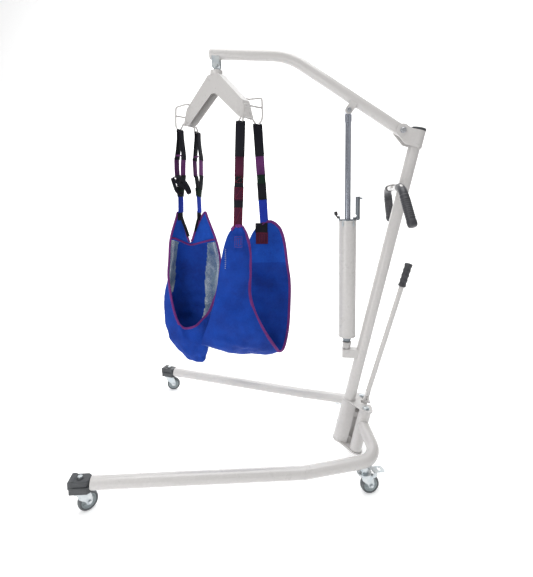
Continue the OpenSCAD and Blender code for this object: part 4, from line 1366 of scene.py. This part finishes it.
@dataclass
class Sling:
    """Hanging body sling: back panel, leg panel, bindings, patches and straps."""

    place: Layout
    finish: Finishes
    yaw: float = 97.0
    back_cut: tuple[float, float] = (0.62, 1.02)
    leg_cut: tuple[float, float] = (0.30, 1.45)
    hook_z: float = 1.478
    kept: float = 0.66
    sheets: list[bpy.types.Object] = field(default_factory=list)

    def __post_init__(self) -> None:
        """Find the swivel's axis and the sling's own directions."""
        axis = self.place.pos("cradle_swivel")
        turn = math.radians(self.yaw)
        self.origin = Vector((axis.x, axis.y, 0.0))
        self.across = Vector((math.cos(turn), math.sin(turn), 0.0))
        self.away = Vector((-math.sin(turn), math.cos(turn), 0.0))

    def at(self, p: Point) -> Vector:
        """A point across, away and up, in millimetres, as a place in metres."""
        return self.origin + self.across * (p[0] * MM) + self.away * (p[1] * MM) + Vector((0, 0, p[2] * MM))

    def grid(self, control: Sequence[Sequence[Point]], rows: int, cols: int) -> np.ndarray:
        """A smooth surface, in the sling's millimetres."""
        return smooth_sheet(np.array(control, float), rows, cols)

    def to_row(self, grid: np.ndarray) -> np.ndarray:
        """Turn a grid of the sling's millimetres into metres of the row frame."""
        o, a, b = (np.array(v) for v in (self.origin, self.across, self.away))
        flat = grid * MM
        return (o + flat[..., :1] * a + flat[..., 1:2] * b + flat[..., 2:] * np.array((0, 0, 1.0)))

    @staticmethod
    def wrinkle(grid: np.ndarray, folds: Callable[[float, float, Vector], float]) -> np.ndarray:
        """Push a surface along its normals.

        Args:
            grid: The surface.
            folds: Height in millimetres at (across, down, place).

        Returns:
            The pushed surface.
        """
        rows, cols, _ = grid.shape
        n = np.cross(np.gradient(grid, axis=1), np.gradient(grid, axis=0))
        n /= np.maximum(np.linalg.norm(n, axis=2, keepdims=True), 1e-9)
        out = grid.copy()
        for i in range(rows):
            for j in range(cols):
                u, v = j / (cols - 1), i / (rows - 1)
                out[i, j] += n[i, j] * folds(u, v, Vector(grid[i, j]))
        return out

    def soft(self, obj: bpy.types.Object) -> bpy.types.Object:
        """Give a piece its own copy of its mesh."""
        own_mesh(obj)
        return obj

    def binding(self, name: str, line: np.ndarray, width: float = 15.0,
                closed: bool = False) -> bpy.types.Object:
        """A folded tape sewn over a cloth's edge.

        Args:
            name: The piece's name.
            line: Points of the edge, in the sling's millimetres.
            width: The tape's width in millimetres.
            closed: The edge is a loop.

        Returns:
            The piece.
        """
        pts = [self.at(p) for p in line]
        w, t = width / 2 * MM, 2.4 * MM
        section = [(w, 0.0), (w * 0.86, t * 0.8), (w * 0.3, t), (-w * 0.3, t), (-w * 0.86, t * 0.8),
                   (-w, 0.0),
                   (-w * 0.86, -t * 0.8), (-w * 0.3, -t), (w * 0.3, -t), (w * 0.86, -t * 0.8)]
        wave = [1.0 + 0.07 * noise.noise(Vector((k * 0.21, 3.1, 0.4))) for k in range(len(pts))]
        obj = Shape().sweep(pts, section, scale=wave, closed=closed, up=[self.away] * len(pts)).piece(
            name, "cradle", "sling_fabric", [self.finish["binding"]], 70)
        return self.soft(obj)

    BACK = (
        ((-206, 104, 1080), (-197, 106, 1099), (-172, 118, 1035), (-146, 128, 952), (-112, 118, 1030),
         (-72, 106, 1100), (-58, 102, 1078)),
        ((-232, 82, 975), (-215, 102, 968), (-184, 128, 952), (-146, 140, 938), (-92, 130, 948),
         (-38, 100, 962), (-14, 78, 968)),
        ((-239, 76, 880), (-232, 112, 872), (-196, 150, 862), (-140, 158, 852), (-80, 150, 856),
         (-16, 106, 868), (6, 70, 880)),
        ((-243, 68, 796), (-250, 116, 785), (-208, 162, 770), (-140, 167, 760), (-75, 158, 765),
         (-12, 108, 785), (3, 63, 800)),
        ((-230, 58, 700), (-273, 104, 680), (-224, 162, 660), (-140, 168, 645), (-70, 156, 650),
         (-16, 100, 690), (-8, 54, 730)),
        ((-217, 50, 642), (-266, 84, 570), (-216, 146, 530), (-140, 155, 510), (-75, 138, 530),
         (-30, 90, 600), (-22, 48, 690)),
        ((-205, 44, 604), (-238, 62, 492), (-192, 110, 428), (-132, 115, 398), (-80, 100, 415),
         (-45, 70, 520), (-35, 42, 655)),
        ((-196, 40, 584), (-204, 40, 500), (-168, 58, 412), (-114, 56, 378), (-68, 54, 392),
         (-48, 45, 530), (-46, 38, 632)),
        ((-190, 37, 572), (-182, 29, 543), (-160, 26, 482), (-120, 22, 460), (-84, 26, 486),
         (-68, 32, 570), (-60, 36, 612)),
        ((-185, 36, 566), (-172, 34, 556), (-155, 32, 551), (-130, 32, 556), (-105, 32, 568),
         (-85, 34, 585), (-68, 36, 605)),
    )

    def back(self) -> None:
        """The back panel: a deep hammock with net windows, seen from its open side."""
        f = self.finish
        rows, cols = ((96, 78))
        base = self.grid(self.BACK, rows, cols)

        def folds(u: float, v: float, p: Vector) -> float:
            """Soft pulls from the strap tabs and slack folds in the pouch."""
            slack = math.sin(math.pi * min(1.0, max(0.0, u))) * min(1.0, v * 3)
            pull = math.sin(u * 17.0 + v * 3.0) * 2.2 * (1 - v) * slack
            low = noise.noise(Vector((p.x * 0.012, p.y * 0.012, p.z * 0.022))) * 12.0 * slack * (0.3 + v)
            fine = noise.noise(Vector((p.x * 0.045, 7.3, p.z * 0.06))) * 3.4 * slack
            return pull + low + fine

        base = self.wrinkle(base, folds)
        self.back_grid = base

        def pick(u: float, v: float) -> int:
            """Blue cloth, light top pieces or net, by place."""
            if v < 1 / 9:
                return 1
            if v > 0.60:
                return 0
            start = 0.012 if v < 0.30 else min(0.19, 0.012 + (v - 0.30) * 2.6)
            left = 0.235 + 0.10 * min(v, 0.35) + 0.012 * math.sin(v * 21)
            right = 0.74 - 0.34 * max(0.0, v - 0.11) + 0.012 * math.sin(v * 17)
            if start < u < left or max(0.60, right) < u < 0.985:
                return 2
            return 0

        obj = Shape().cloth(self.to_row(base), 0.0022, self.back_cut, pick).piece(
            "sling_back_panel", "cradle", "sling_fabric",
            [f["sling_blue"], f["sling_light"], f["sling_net"]], crease=75)
        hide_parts("sling_back")
        self.soft(obj)
        left, right = base[:, 0], base[:, -1]
        rim = np.vstack([base[0, :cols // 2 - 1][::-1], left[1:], base[-1, 1:], right[::-1][1:],
                         base[0, cols // 2 + 1:-1][::-1]])
        edge = self.binding("back_binding", rim[::2], 11.0)
        seam_row = int(rows * 1 / 9)
        seam = self.binding("back_seam_tape", base[seam_row] + np.array((0, -3.2, 0)), 9.0)
        self.sheets.append(obj)

    LEG = (
        ((84, -148, 1050), (94, -150, 1054), (103, -150, 1056), (113, -150, 1054), (122, -148, 1049)),
        ((58, -148, 1016), (80, -151, 1020), (102, -152, 1022), (122, -151, 1018), (140, -147, 1010)),
        ((38, -147, 952), (68, -152, 950), (98, -154, 948), (127, -152, 946), (152, -146, 944)),
        ((22, -147, 860), (58, -154, 858), (94, -156, 856), (126, -154, 856), (153, -145, 856)),
        ((3, -141, 748), (48, -140, 748), (90, -140, 750), (126, -139, 752), (152, -137, 758)),
        ((-22, -150, 650), (42, -164, 655), (96, -168, 662), (140, -160, 668), (176, -144, 676)),
        ((-56, -146, 550), (30, -156, 562), (106, -158, 578), (168, -150, 590), (216, -134, 594)),
        ((-46, -122, 528), (44, -124, 508), (124, -122, 512), (202, -114, 516), (258, -98, 520)),
        ((20, -60, 482), (80, -58, 466), (150, -56, 462), (222, -52, 462), (286, -44, 470)),
        ((60, 5, 468), (118, 10, 456), (186, 12, 454), (252, 12, 458), (312, 12, 474)),
        ((84, 24, 560), (140, 30, 548), (206, 32, 546), (272, 30, 552), (330, 24, 566)),
        ((102, 30, 690), (156, 40, 690), (220, 42, 690), (284, 40, 690), (336, 30, 692)),
        ((112, 42, 778), (166, 54, 775), (226, 58, 774), (286, 54, 776), (336, 42, 780)),
        ((124, 18, 860), (172, 20, 862), (228, 20, 862), (280, 20, 864), (322, 16, 866)),
        ((140, 26, 960), (184, 30, 968), (232, 31, 972), (276, 30, 972), (308, 26, 968)),
        ((166, 25, 1020), (200, 28, 1034), (234, 28, 1040), (266, 28, 1038), (290, 25, 1026)),
        ((200, 25, 1052), (216, 26, 1060), (234, 26, 1064), (250, 26, 1062), (266, 25, 1054)),
    )

    def legs(self) -> None:
        """The leg panel: a trough that hangs from its two ends."""
        f = self.finish
        rows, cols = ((150, 62))
        base = self.grid(self.LEG, rows, cols)

        def folds(u: float, v: float, p: Vector) -> float:
            """Creases across the panel at the thigh line, slack folds and pulls from the tabs."""
            edge = math.sin(math.pi * u)
            crease = 6.0 * math.exp(-((p.z - 774 + 5 * math.sin(u * 4)) / 8) ** 2) if v > 0.55 else 0.0
            near = 0.0
            if v < 0.5:
                near = 5.0 * math.exp(-((p.z - 750 - 22 * (u - 0.5)) / 10) ** 2) * min(1.0, u * 2.2)
                near += 6.0 * math.exp(-((p.z - 640 - 90 * u) / 20) ** 2) * edge
                near -= 6.0 * math.exp(-((p.z - 590 + 110 * u) / 18) ** 2) * edge
            low = noise.noise(Vector((p.x * 0.011, 2.2 + v * 2, p.z * 0.016))) * 11.0 * edge
            fine = noise.noise(Vector((p.x * 0.035, 5.1, p.z * 0.05))) * 4.0 * edge
            pull = 1.8 * math.sin(u * 15) * (max(0.0, 1 - v * 6) + max(0.0, v * 6 - 5))
            return crease + near + low + fine + pull

        base = self.wrinkle(base, folds)
        self.leg_grid = base

        def pick(u: float, v: float) -> int:
            """A lighter far end and a small net window low on the near side."""
            if 0.425 < v < 0.505 and u < 0.06 + 3.6 * (v - 0.425):
                return 2
            return 1 if v > 0.82 else 0

        obj = Shape().cloth(self.to_row(base), 0.0024, self.leg_cut, pick).piece(
            "sling_leg_panel", "cradle", "sling_fabric",
            [f["sling_blue"], f["sling_light"], f["sling_net"]], crease=75)
        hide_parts("sling_legs")
        self.soft(obj)
        rim = np.vstack([base[4:0:-1, 0], base[0], base[1:, -1], base[-1, ::-1][1:], base[-2:-8:-1, 0]])
        with_pieces = [self.binding("leg_binding", rim[::2], 13.0), *self.trims()]
        self.sheets.append(obj)

    def stitches(self, name: str, lines: Sequence[Sequence[Point]], finish: str, length: float = 6.0,
                 gap: float = 2.2, thick: float = 0.9) -> bpy.types.Object:
        """Rows of sewn stitches.

        Args:
            name: The piece's name.
            lines: Each line's two ends, in the sling's millimetres.
            finish: The thread's finish.
            length: Length of a stitch in millimetres.
            gap: Space between stitches.
            thick: The thread's radius.

        Returns:
            The piece.
        """
        shape = Shape()
        for a, b in lines:
            start, end = Vector(a), Vector(b)
            run = (end - start).length
            way = (end - start).normalized()
            count = max(1, int(run / (length + gap)))
            for k in range(count):
                p = start + way * (k * run / count)
                pts = [self.at(p + way * (length * t) + Vector((0, -1.1 * math.sin(math.pi * t), 0)))
                       for t in (0, 0.25, 0.5, 0.75, 1)]
                shape.sweep(pts, circle(thick * MM, 6), scale=[0.5, 1, 1.1, 1, 0.5])
        return self.soft(shape.piece(name, "cradle", "sling_fabric", [self.finish[finish]], 80))

    def patch(self, name: str, lo: tuple[float, float], hi: tuple[float, float],
              front: Callable[[float, float], float],
              finish: str) -> bpy.types.Object:
        """A sewn-on patch that lies on the cloth.

        Args:
            name: The piece's name.
            lo: Its lowest across and height, in millimetres.
            hi: Its highest.
            front: Distance away of its face at (across, height).
            finish: Its finish.

        Returns:
            The piece.
        """
        grid = np.array([[(x, front(x, z), z) for x in np.linspace(lo[0], hi[0], 14)]
                         for z in np.linspace(hi[1], lo[1], 14)])
        size = ((hi[0] - lo[0]) * MM, (hi[1] - lo[1]) * MM)
        return self.soft(Shape().cloth(self.to_row(grid), 0.0018, size).piece(
            name, "cradle", "sling_fabric", [self.finish[finish]], 75))

    def face_at(self, grid: np.ndarray, rows: slice) -> Callable[[float, float], float]:
        """Distance away of the nearest cloth point, as a function of across and height.

        Args:
            grid: The cloth.
            rows: The rows to look in.

        Returns:
            The function.
        """
        flat = grid[rows].reshape(-1, 3)

        def find(x: float, z: float) -> float:
            """Average the nearest points, less the cloth's and patch's thickness."""
            d = (flat[:, 0] - x) ** 2 + (flat[:, 2] - z) ** 2
            near = np.argsort(d)[:6]
            w = 1.0 / (d[near] + 4.0)
            return float((flat[near, 1] * w).sum() / w.sum() - 2.4)

        return find

    def trims(self) -> list[bpy.types.Object]:
        """Stitched patches, box stitching and the lacing of the leg panel.

        Returns:
            The pieces.
        """
        rows = self.leg_grid.shape[0]
        near = self.face_at(self.leg_grid, slice(0, rows // 2))
        far = self.face_at(self.leg_grid, slice(2 * rows // 3, rows))

        def box(face: Callable[[float, float], float], x0: float, x1: float, z0: float, z1: float,
                inner: int) -> list[tuple[Point, Point]]:
            """Lines of a stitched box with upright rows inside."""
            def on(x: float, z: float) -> tuple[float, float, float]:
                """A point just in front of the cloth."""
                return (x, face(x, z) - 1.6, z)
            lines = [(on(x0, z0), on(x1, z0)), (on(x1, z0), on(x1, z1)), (on(x1, z1), on(x0, z1)),
                     (on(x0, z1), on(x0, z0))]
            for k in range(inner):
                x = x0 + (x1 - x0) * (k + 1) / (inner + 1)
                lines.append((on(x, z0 + 5), on(x, z1 - 5)))
            return lines

        pieces = [
            self.patch("far_tab_patch", (176, 958), (232, 1014), far, "webbing_wine"),
            self.patch("far_tab", (173, 1012), (230, 1056), far, "webbing_black"),
            self.patch("near_tab_patch", (84, 962), (122, 1014), near, "sling_light"),
            self.stitches("far_tab_stitching", box(far, 180, 228, 963, 1009, 3),
                          "thread_red", 5.0, 1.4, 1.0),
            self.stitches("near_tab_stitching",
                          box(near, 88, 118, 966, 1010, 1) + box(near, 94, 112, 975, 1002, 0),
                          "thread_red", 5.0, 1.6, 0.9),
        ]
        lace = []
        for k in range(11):
            z = 958 - 8.0 * k
            lace.append(((46, near(46, z) - 1.2, z), (52, near(52, z) - 1.2, z - 4.0)))
        pieces.append(self.stitches("near_lacing", lace, "thread_white", 6.5, 0.5, 0.8))
        return pieces

    def build(self) -> None:
        """Build every piece of the sling."""
        self.back()
        self.legs()
        Straps(self).build()


class Band(Enum):
    """Colours along a strap."""

    BLACK = "webbing_black"
    WINE = "webbing_wine"
    GREEN = "webbing_green"
    BLUE = "webbing_blue"
    PURPLE = "webbing_purple"


@dataclass
class Straps:
    """The sling's four webbing straps with their coloured length loops."""

    sling: Sling
    thick: float = 2.2

    def ribbon(self, shape: Shape, path: Sequence[Point], flat: Sequence[Point], width: float, mat: int,
               count: int = 40) -> list[Vector]:
        """A strip of webbing along a path.

        Args:
            shape: The shape to add to.
            path: Points in the sling's millimetres.
            flat: Direction across the webbing at each point.
            width: The webbing's width in millimetres.
            mat: Material number.
            count: Steps along the path.

        Returns:
            The path's points in the row frame.
        """
        s = self.sling
        pts = [s.at(p) for p in smooth_row(np.array(path, float), count)]
        ways = [(s.across * w[0] + s.away * w[1] + Vector((0, 0, w[2])))
                for w in smooth_row(np.array(flat, float), count)]
        w, t = width / 2 * MM, self.thick / 2 * MM
        section = [(-t, w), (-t, -w), (-t * 0.4, -w - t * 0.8), (t * 0.4, -w - t * 0.8), (t, -w), (t, w),
                   (t * 0.4, w + t * 0.8), (-t * 0.4, w + t * 0.8)]
        shape.sweep(pts, section, mat=mat, up=ways)
        return pts

    def strap(self, name: str, hook: Point, bottom: Point, flat: Point,
              bands: Sequence[tuple[float, float, Band]],
              twist: Point, spread: float = 0.0, nodes: Sequence[str] = ()) -> bpy.types.Object:
        """One strap: a loop over the hook, then bands of webbing down to the sling's tab.

        Args:
            name: The piece's name.
            hook: The hook's lowest point, in the sling's millimetres.
            bottom: Where the strap is sewn on.
            flat: Direction across the webbing.
            bands: (from, to, colour), 0 at the hook and 1 at the sling.
            twist: Direction across the webbing at its lower end.
            spread: Half the gap between the two layers of the loops.
            nodes: CAD nodes that it replaces.

        Returns:
            The piece.
        """
        f = self.sling.finish
        colours = list(Band)
        shape = Shape()
        h, b = np.array(hook, float), np.array(bottom, float)
        wa, wb = np.array(flat, float), np.array(twist, float)
        wa, wb = wa / np.linalg.norm(wa), wb / np.linalg.norm(wb)
        down = (b - h) / np.linalg.norm(b - h)
        out = np.cross(wa, down)
        out /= np.linalg.norm(out)
        reach = float(np.linalg.norm(b - h))
        turn = 4.6 + self.thick / 2

        def place(t: float, k: int, side: float) -> tuple[np.ndarray, np.ndarray]:
            """Point and across-direction of one layer at a share of the strap's length."""
            sway = 2.5 * noise.noise(Vector((t * 4.0 + len(name), 0.3, k * 0.1)))
            way = wa * (1 - t) + wb * t + down * (0.07 * math.sin(t * 9 + k))
            return h + (b - h) * t + out * (sway + side), way / np.linalg.norm(way)

        for k, (a, c, band) in enumerate(bands):
            first = k == 0
            for sign in ((-1, 1) if first or (spread and a < 0.75) else (1,)):
                pts, ways = [], []
                for s in np.linspace(0, 1, 9):
                    t = a + (c - a) * s
                    open_by = spread * float(np.interp(t, (0.0, 0.31, 0.50, 0.66, 0.76, 1.0),
                                                       (0.0, 1.0, 0.85, 0.35, 0.08, 0.0)))
                    off = sign * (self.thick * 0.75 + open_by)
                    if first:
                        off = sign * (turn * math.exp(-t * reach / 26.0) + self.thick * 0.55 + open_by)
                    p, way = place(max(t, 0.001), k, off + (1.5 if k % 2 else -1.5))
                    pts.append(p)
                    ways.append(way)
                self.ribbon(shape, pts, ways, 38.5 - (k % 3) * 1.5, colours.index(band), 22)
            if first:
                arc = [h + out * (1.5 * -1 + turn * 1.28 * math.cos(q))
                       - down * (turn * 1.15 * math.sin(q)) for q in np.linspace(0, math.pi, 11)]
                self.ribbon(shape, arc, [wa] * 11, 37.0, colours.index(band), 18)
            elif spread and k == 1:
                top, way = place(a, k, 0.0)
                arc = [top + out * ((spread + 1.0) * math.cos(q)) - down * (12.0 * math.sin(q))
                       for q in np.linspace(0, math.pi, 9)]
                self.ribbon(shape, arc, [way] * 9, 36.0, colours.index(band), 16)
        obj = shape.piece(name, "cradle", "webbing", [f[c.value] for c in colours], 60)
        if nodes:
            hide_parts(*nodes)
        return self.sling.soft(obj)

    def tails(self) -> None:
        """Build the strap ends sewn to the back's peaks, the spare loop and the folded blue tab."""
        f, black, blue = self.sling.finish, list(Band).index(Band.BLACK), list(Band).index(Band.BLUE)
        shape = Shape()
        paths = (
            ([(-184, 99, 1092), (-176, 99, 1060), (-163, 103, 1024), (-151, 108, 984)], 13.0, black),
            ([(-94, 101, 1092), (-103, 100, 1066), (-112, 102, 1034), (-118, 106, 1008)], 12.0, black),
            ([(-216, 66, 1262), (-192, 62, 1268), (-166, 60, 1254), (-146, 62, 1228), (-134, 66, 1196),
              (-142, 70, 1186)], 15.0, black),
            ([(-216, 66, 1262), (-206, 62, 1232), (-196, 62, 1204), (-178, 64, 1186), (-170, 68, 1196)],
             15.0, black),
            ([(-214, 68, 1258), (-184, 58, 1236), (-158, 58, 1222), (-140, 64, 1190)], 14.0, black),
        )
        for pts, width, colour in paths:
            line = smooth_row(np.array(pts, float), 18)
            flat = [np.array((0.75, 0.45, 0.5)) / 0.99] * len(line)
            self.ribbon(shape, list(line), flat, width, colour, 18)
        fold = [(203, 10, 1166), (214, 8, 1184), (226, 10, 1166)]
        line = smooth_row(np.array(fold, float), 14)
        self.ribbon(shape, list(line), [np.array((0, 1.0, 0.0))] * len(line), 22.0, blue, 14)
        self.sling.soft(shape.piece("strap_tails", "cradle", "webbing", [f[c.value] for c in Band], 60))

    def build(self) -> None:
        """Build the four straps and their stitching."""
        g, w, k, u = Band.GREEN, Band.WINE, Band.BLACK, Band.BLUE
        q = Band.PURPLE
        near = ((0.0, 0.32, k), (0.305, 0.515, w), (0.50, 0.615, k), (0.605, 0.75, w), (0.74, 0.81, k),
                (0.80, 1.01, w))
        far = ((0.0, 0.30, k), (0.275, 0.50, q), (0.49, 0.58, g), (0.57, 0.77, k), (0.755, 1.01, u))
        back = ((0.0, 0.33, k), (0.305, 0.53, q), (0.51, 0.68, k), (0.66, 0.765, g), (0.75, 0.955, u),
                (0.94, 1.05, k))
        self.strap("strap_leg_near", (112, -150, 1479), (101, -151, 1050), (1, 0.1, 0), near, (1, 0, 0),
                   nodes=["straps_legs"])
        self.strap("strap_leg_far", (182, -80, 1479), (214, 22, 1060), (1, 0.1, 0), far, (1, 0, 0))
        self.strap("strap_back_left", (-180, 80, 1479), (-184, 102, 1082), (0.36, 0.93, 0), back,
                   (0.50, 0.87, 0), 17.0, ["straps_back"])
        self.strap("strap_back_right", (-110, 149, 1479), (-94, 104, 1082), (0.34, 0.93, 0), back,
                   (0.38, 0.92, 0), 16.0)
        self.tails()
        s = self.sling
        box = []
        for z0, z1 in ((1235, 1262), (1170, 1214), (1062, 1130)):
            x, y, half, inset = 106.0 + (z0 - 1240) * 0.02, -154.5, 15, 13
            left, right = x - half, x + half
            box += [((left, y, z0), (right, y, z0)), ((right, y, z0), (right, y, z1)),
                    ((right, y, z1), (left, y, z1)), ((left, y, z1), (left, y, z0)),
                    ((x - inset, y, z0 + 3), (x + inset, y, z1 - 3))]
        s.stitches("strap_stitching", box, "thread_red", 4.6, 1.8, 0.8)


@dataclass
class Studio:
    """Pale floor, soft lights and the camera."""

    focal: float = 27.53
    shift: tuple[float, float] = (0.0163, -0.0991)
    eye: tuple[float, float, float] = (1.81896, 0.19043, 1.18032)
    heading: float = 97.0
    down: float = 5.57
    roll: float = 0.22

    def floor(self) -> None:
        """A floor that curves up into a backdrop behind the hoist."""
        n = Nodes("studio_floor")
        n.set(Base_Color=(0.90, 0.90, 0.90), Roughness=0.75, Emission_Color=(1.0, 1.0, 1.0),
              Emission_Strength=0.36)
        shape = Shape()
        xs = [6.0, -3.5, -4.2, -4.8, -5.2, -5.4, -5.4]
        zs = [0.0, 0.0, 0.06, 0.28, 0.75, 1.6, 7.0]
        base = shape.put([(x, y, z) for x, z in zip(xs, zs) for y in (-9.0, 9.0)])
        for i in range(len(xs) - 1):
            a = base + 2 * i
            shape.face(a, a + 1, a + 3, a + 2)
        mesh = bpy.data.meshes.new("studio_floor")
        mesh.from_pydata([tuple(v) for v in shape.verts], [], shape.faces)
        mesh.materials.append(n.material)
        for p in mesh.polygons:
            p.use_smooth = True
        obj = bpy.data.objects.new("studio_floor", mesh)
        bpy.context.scene.collection.objects.link(obj)

    def lamp(self, name: str, at: Point, aim: Point, size: float, power: float,
             color: Color = (1, 1, 1)) -> None:
        """A square soft light.

        Args:
            name: The light's name.
            at: Its place.
            aim: The point that it faces.
            size: Side length in metres.
            power: Watts.
            color: Its colour.
        """
        data = bpy.data.lights.new(name, "AREA")
        data.shape, data.size, data.energy, data.color = "SQUARE", size, power, color
        obj = bpy.data.objects.new(name, data)
        obj.location = at
        obj.rotation_euler = (Vector(aim) - Vector(at)).to_track_quat("-Z", "Y").to_euler()
        bpy.context.scene.collection.objects.link(obj)

    def camera(self) -> None:
        """The camera, level but for a slight roll."""
        a, e = math.radians(self.heading), math.radians(self.down)
        forward = Vector((-math.sin(a) * math.cos(e), math.cos(a) * math.cos(e), -math.sin(e)))
        data = bpy.data.cameras.new("camera")
        data.sensor_fit, data.sensor_width, data.lens = "HORIZONTAL", 36.0, self.focal
        data.shift_x, data.shift_y = self.shift
        data.clip_end = 60.0
        obj = bpy.data.objects.new("camera", data)
        turn = forward.to_track_quat("-Z", "Y").to_matrix().to_4x4()
        roll = Matrix.Rotation(math.radians(self.roll), 4, "Z")
        obj.matrix_world = Matrix.Translation(self.eye) @ turn @ roll
        bpy.context.scene.collection.objects.link(obj)
        bpy.context.scene.camera = obj

    def build(self) -> None:
        """Build the stage."""
        self.camera()
        self.floor()
        world = bpy.data.worlds.new("studio")
        world.use_nodes = True
        world.node_tree.nodes["Background"].inputs["Color"].default_value = (1.0, 1.0, 1.0, 1.0)
        world.node_tree.nodes["Background"].inputs["Strength"].default_value = 0.28
        bpy.context.scene.world = world
        bpy.context.scene.view_settings.view_transform = "Standard"
        self.lamp("key", (2.6, -2.2, 3.4), (0, -0.1, 0.8), 1.6, 42)
        self.lamp("low", (2.3, -1.5, 0.55), (0, -0.3, 0.1), 1.2, 13)
        self.lamp("fill", (2.8, 2.6, 2.0), (0, 0, 0.8), 3.0, 12)
        self.lamp("top", (0.2, 0.0, 4.4), (0, 0, 0.6), 3.2, 120)
        self.lamp("backdrop", (-2.6, -0.6, 4.6), (-5.3, -0.6, 1.9), 4.0, 210)


def main() -> None:
    """Build the hoist round the frame, piece by piece."""
    logging.basicConfig(level=logging.INFO, format="%(name)s: %(message)s")
    Studio().build()
    place, finish = Layout(), Finishes()
    Mast(place, finish).build()
    for side in ("right", "left"):
        Leg(place, finish, side).build()
        Castor(place, finish, "front", side).build()
        Castor(place, finish, "rear", side, braked=True).build()
    BaseLever(place, finish).build()
    Boom(place, finish).build()
    Jack(place, finish).build()
    Cradle(place, finish).build()
    Sling(place, finish).build()


if __name__ == "__main__":
    main()
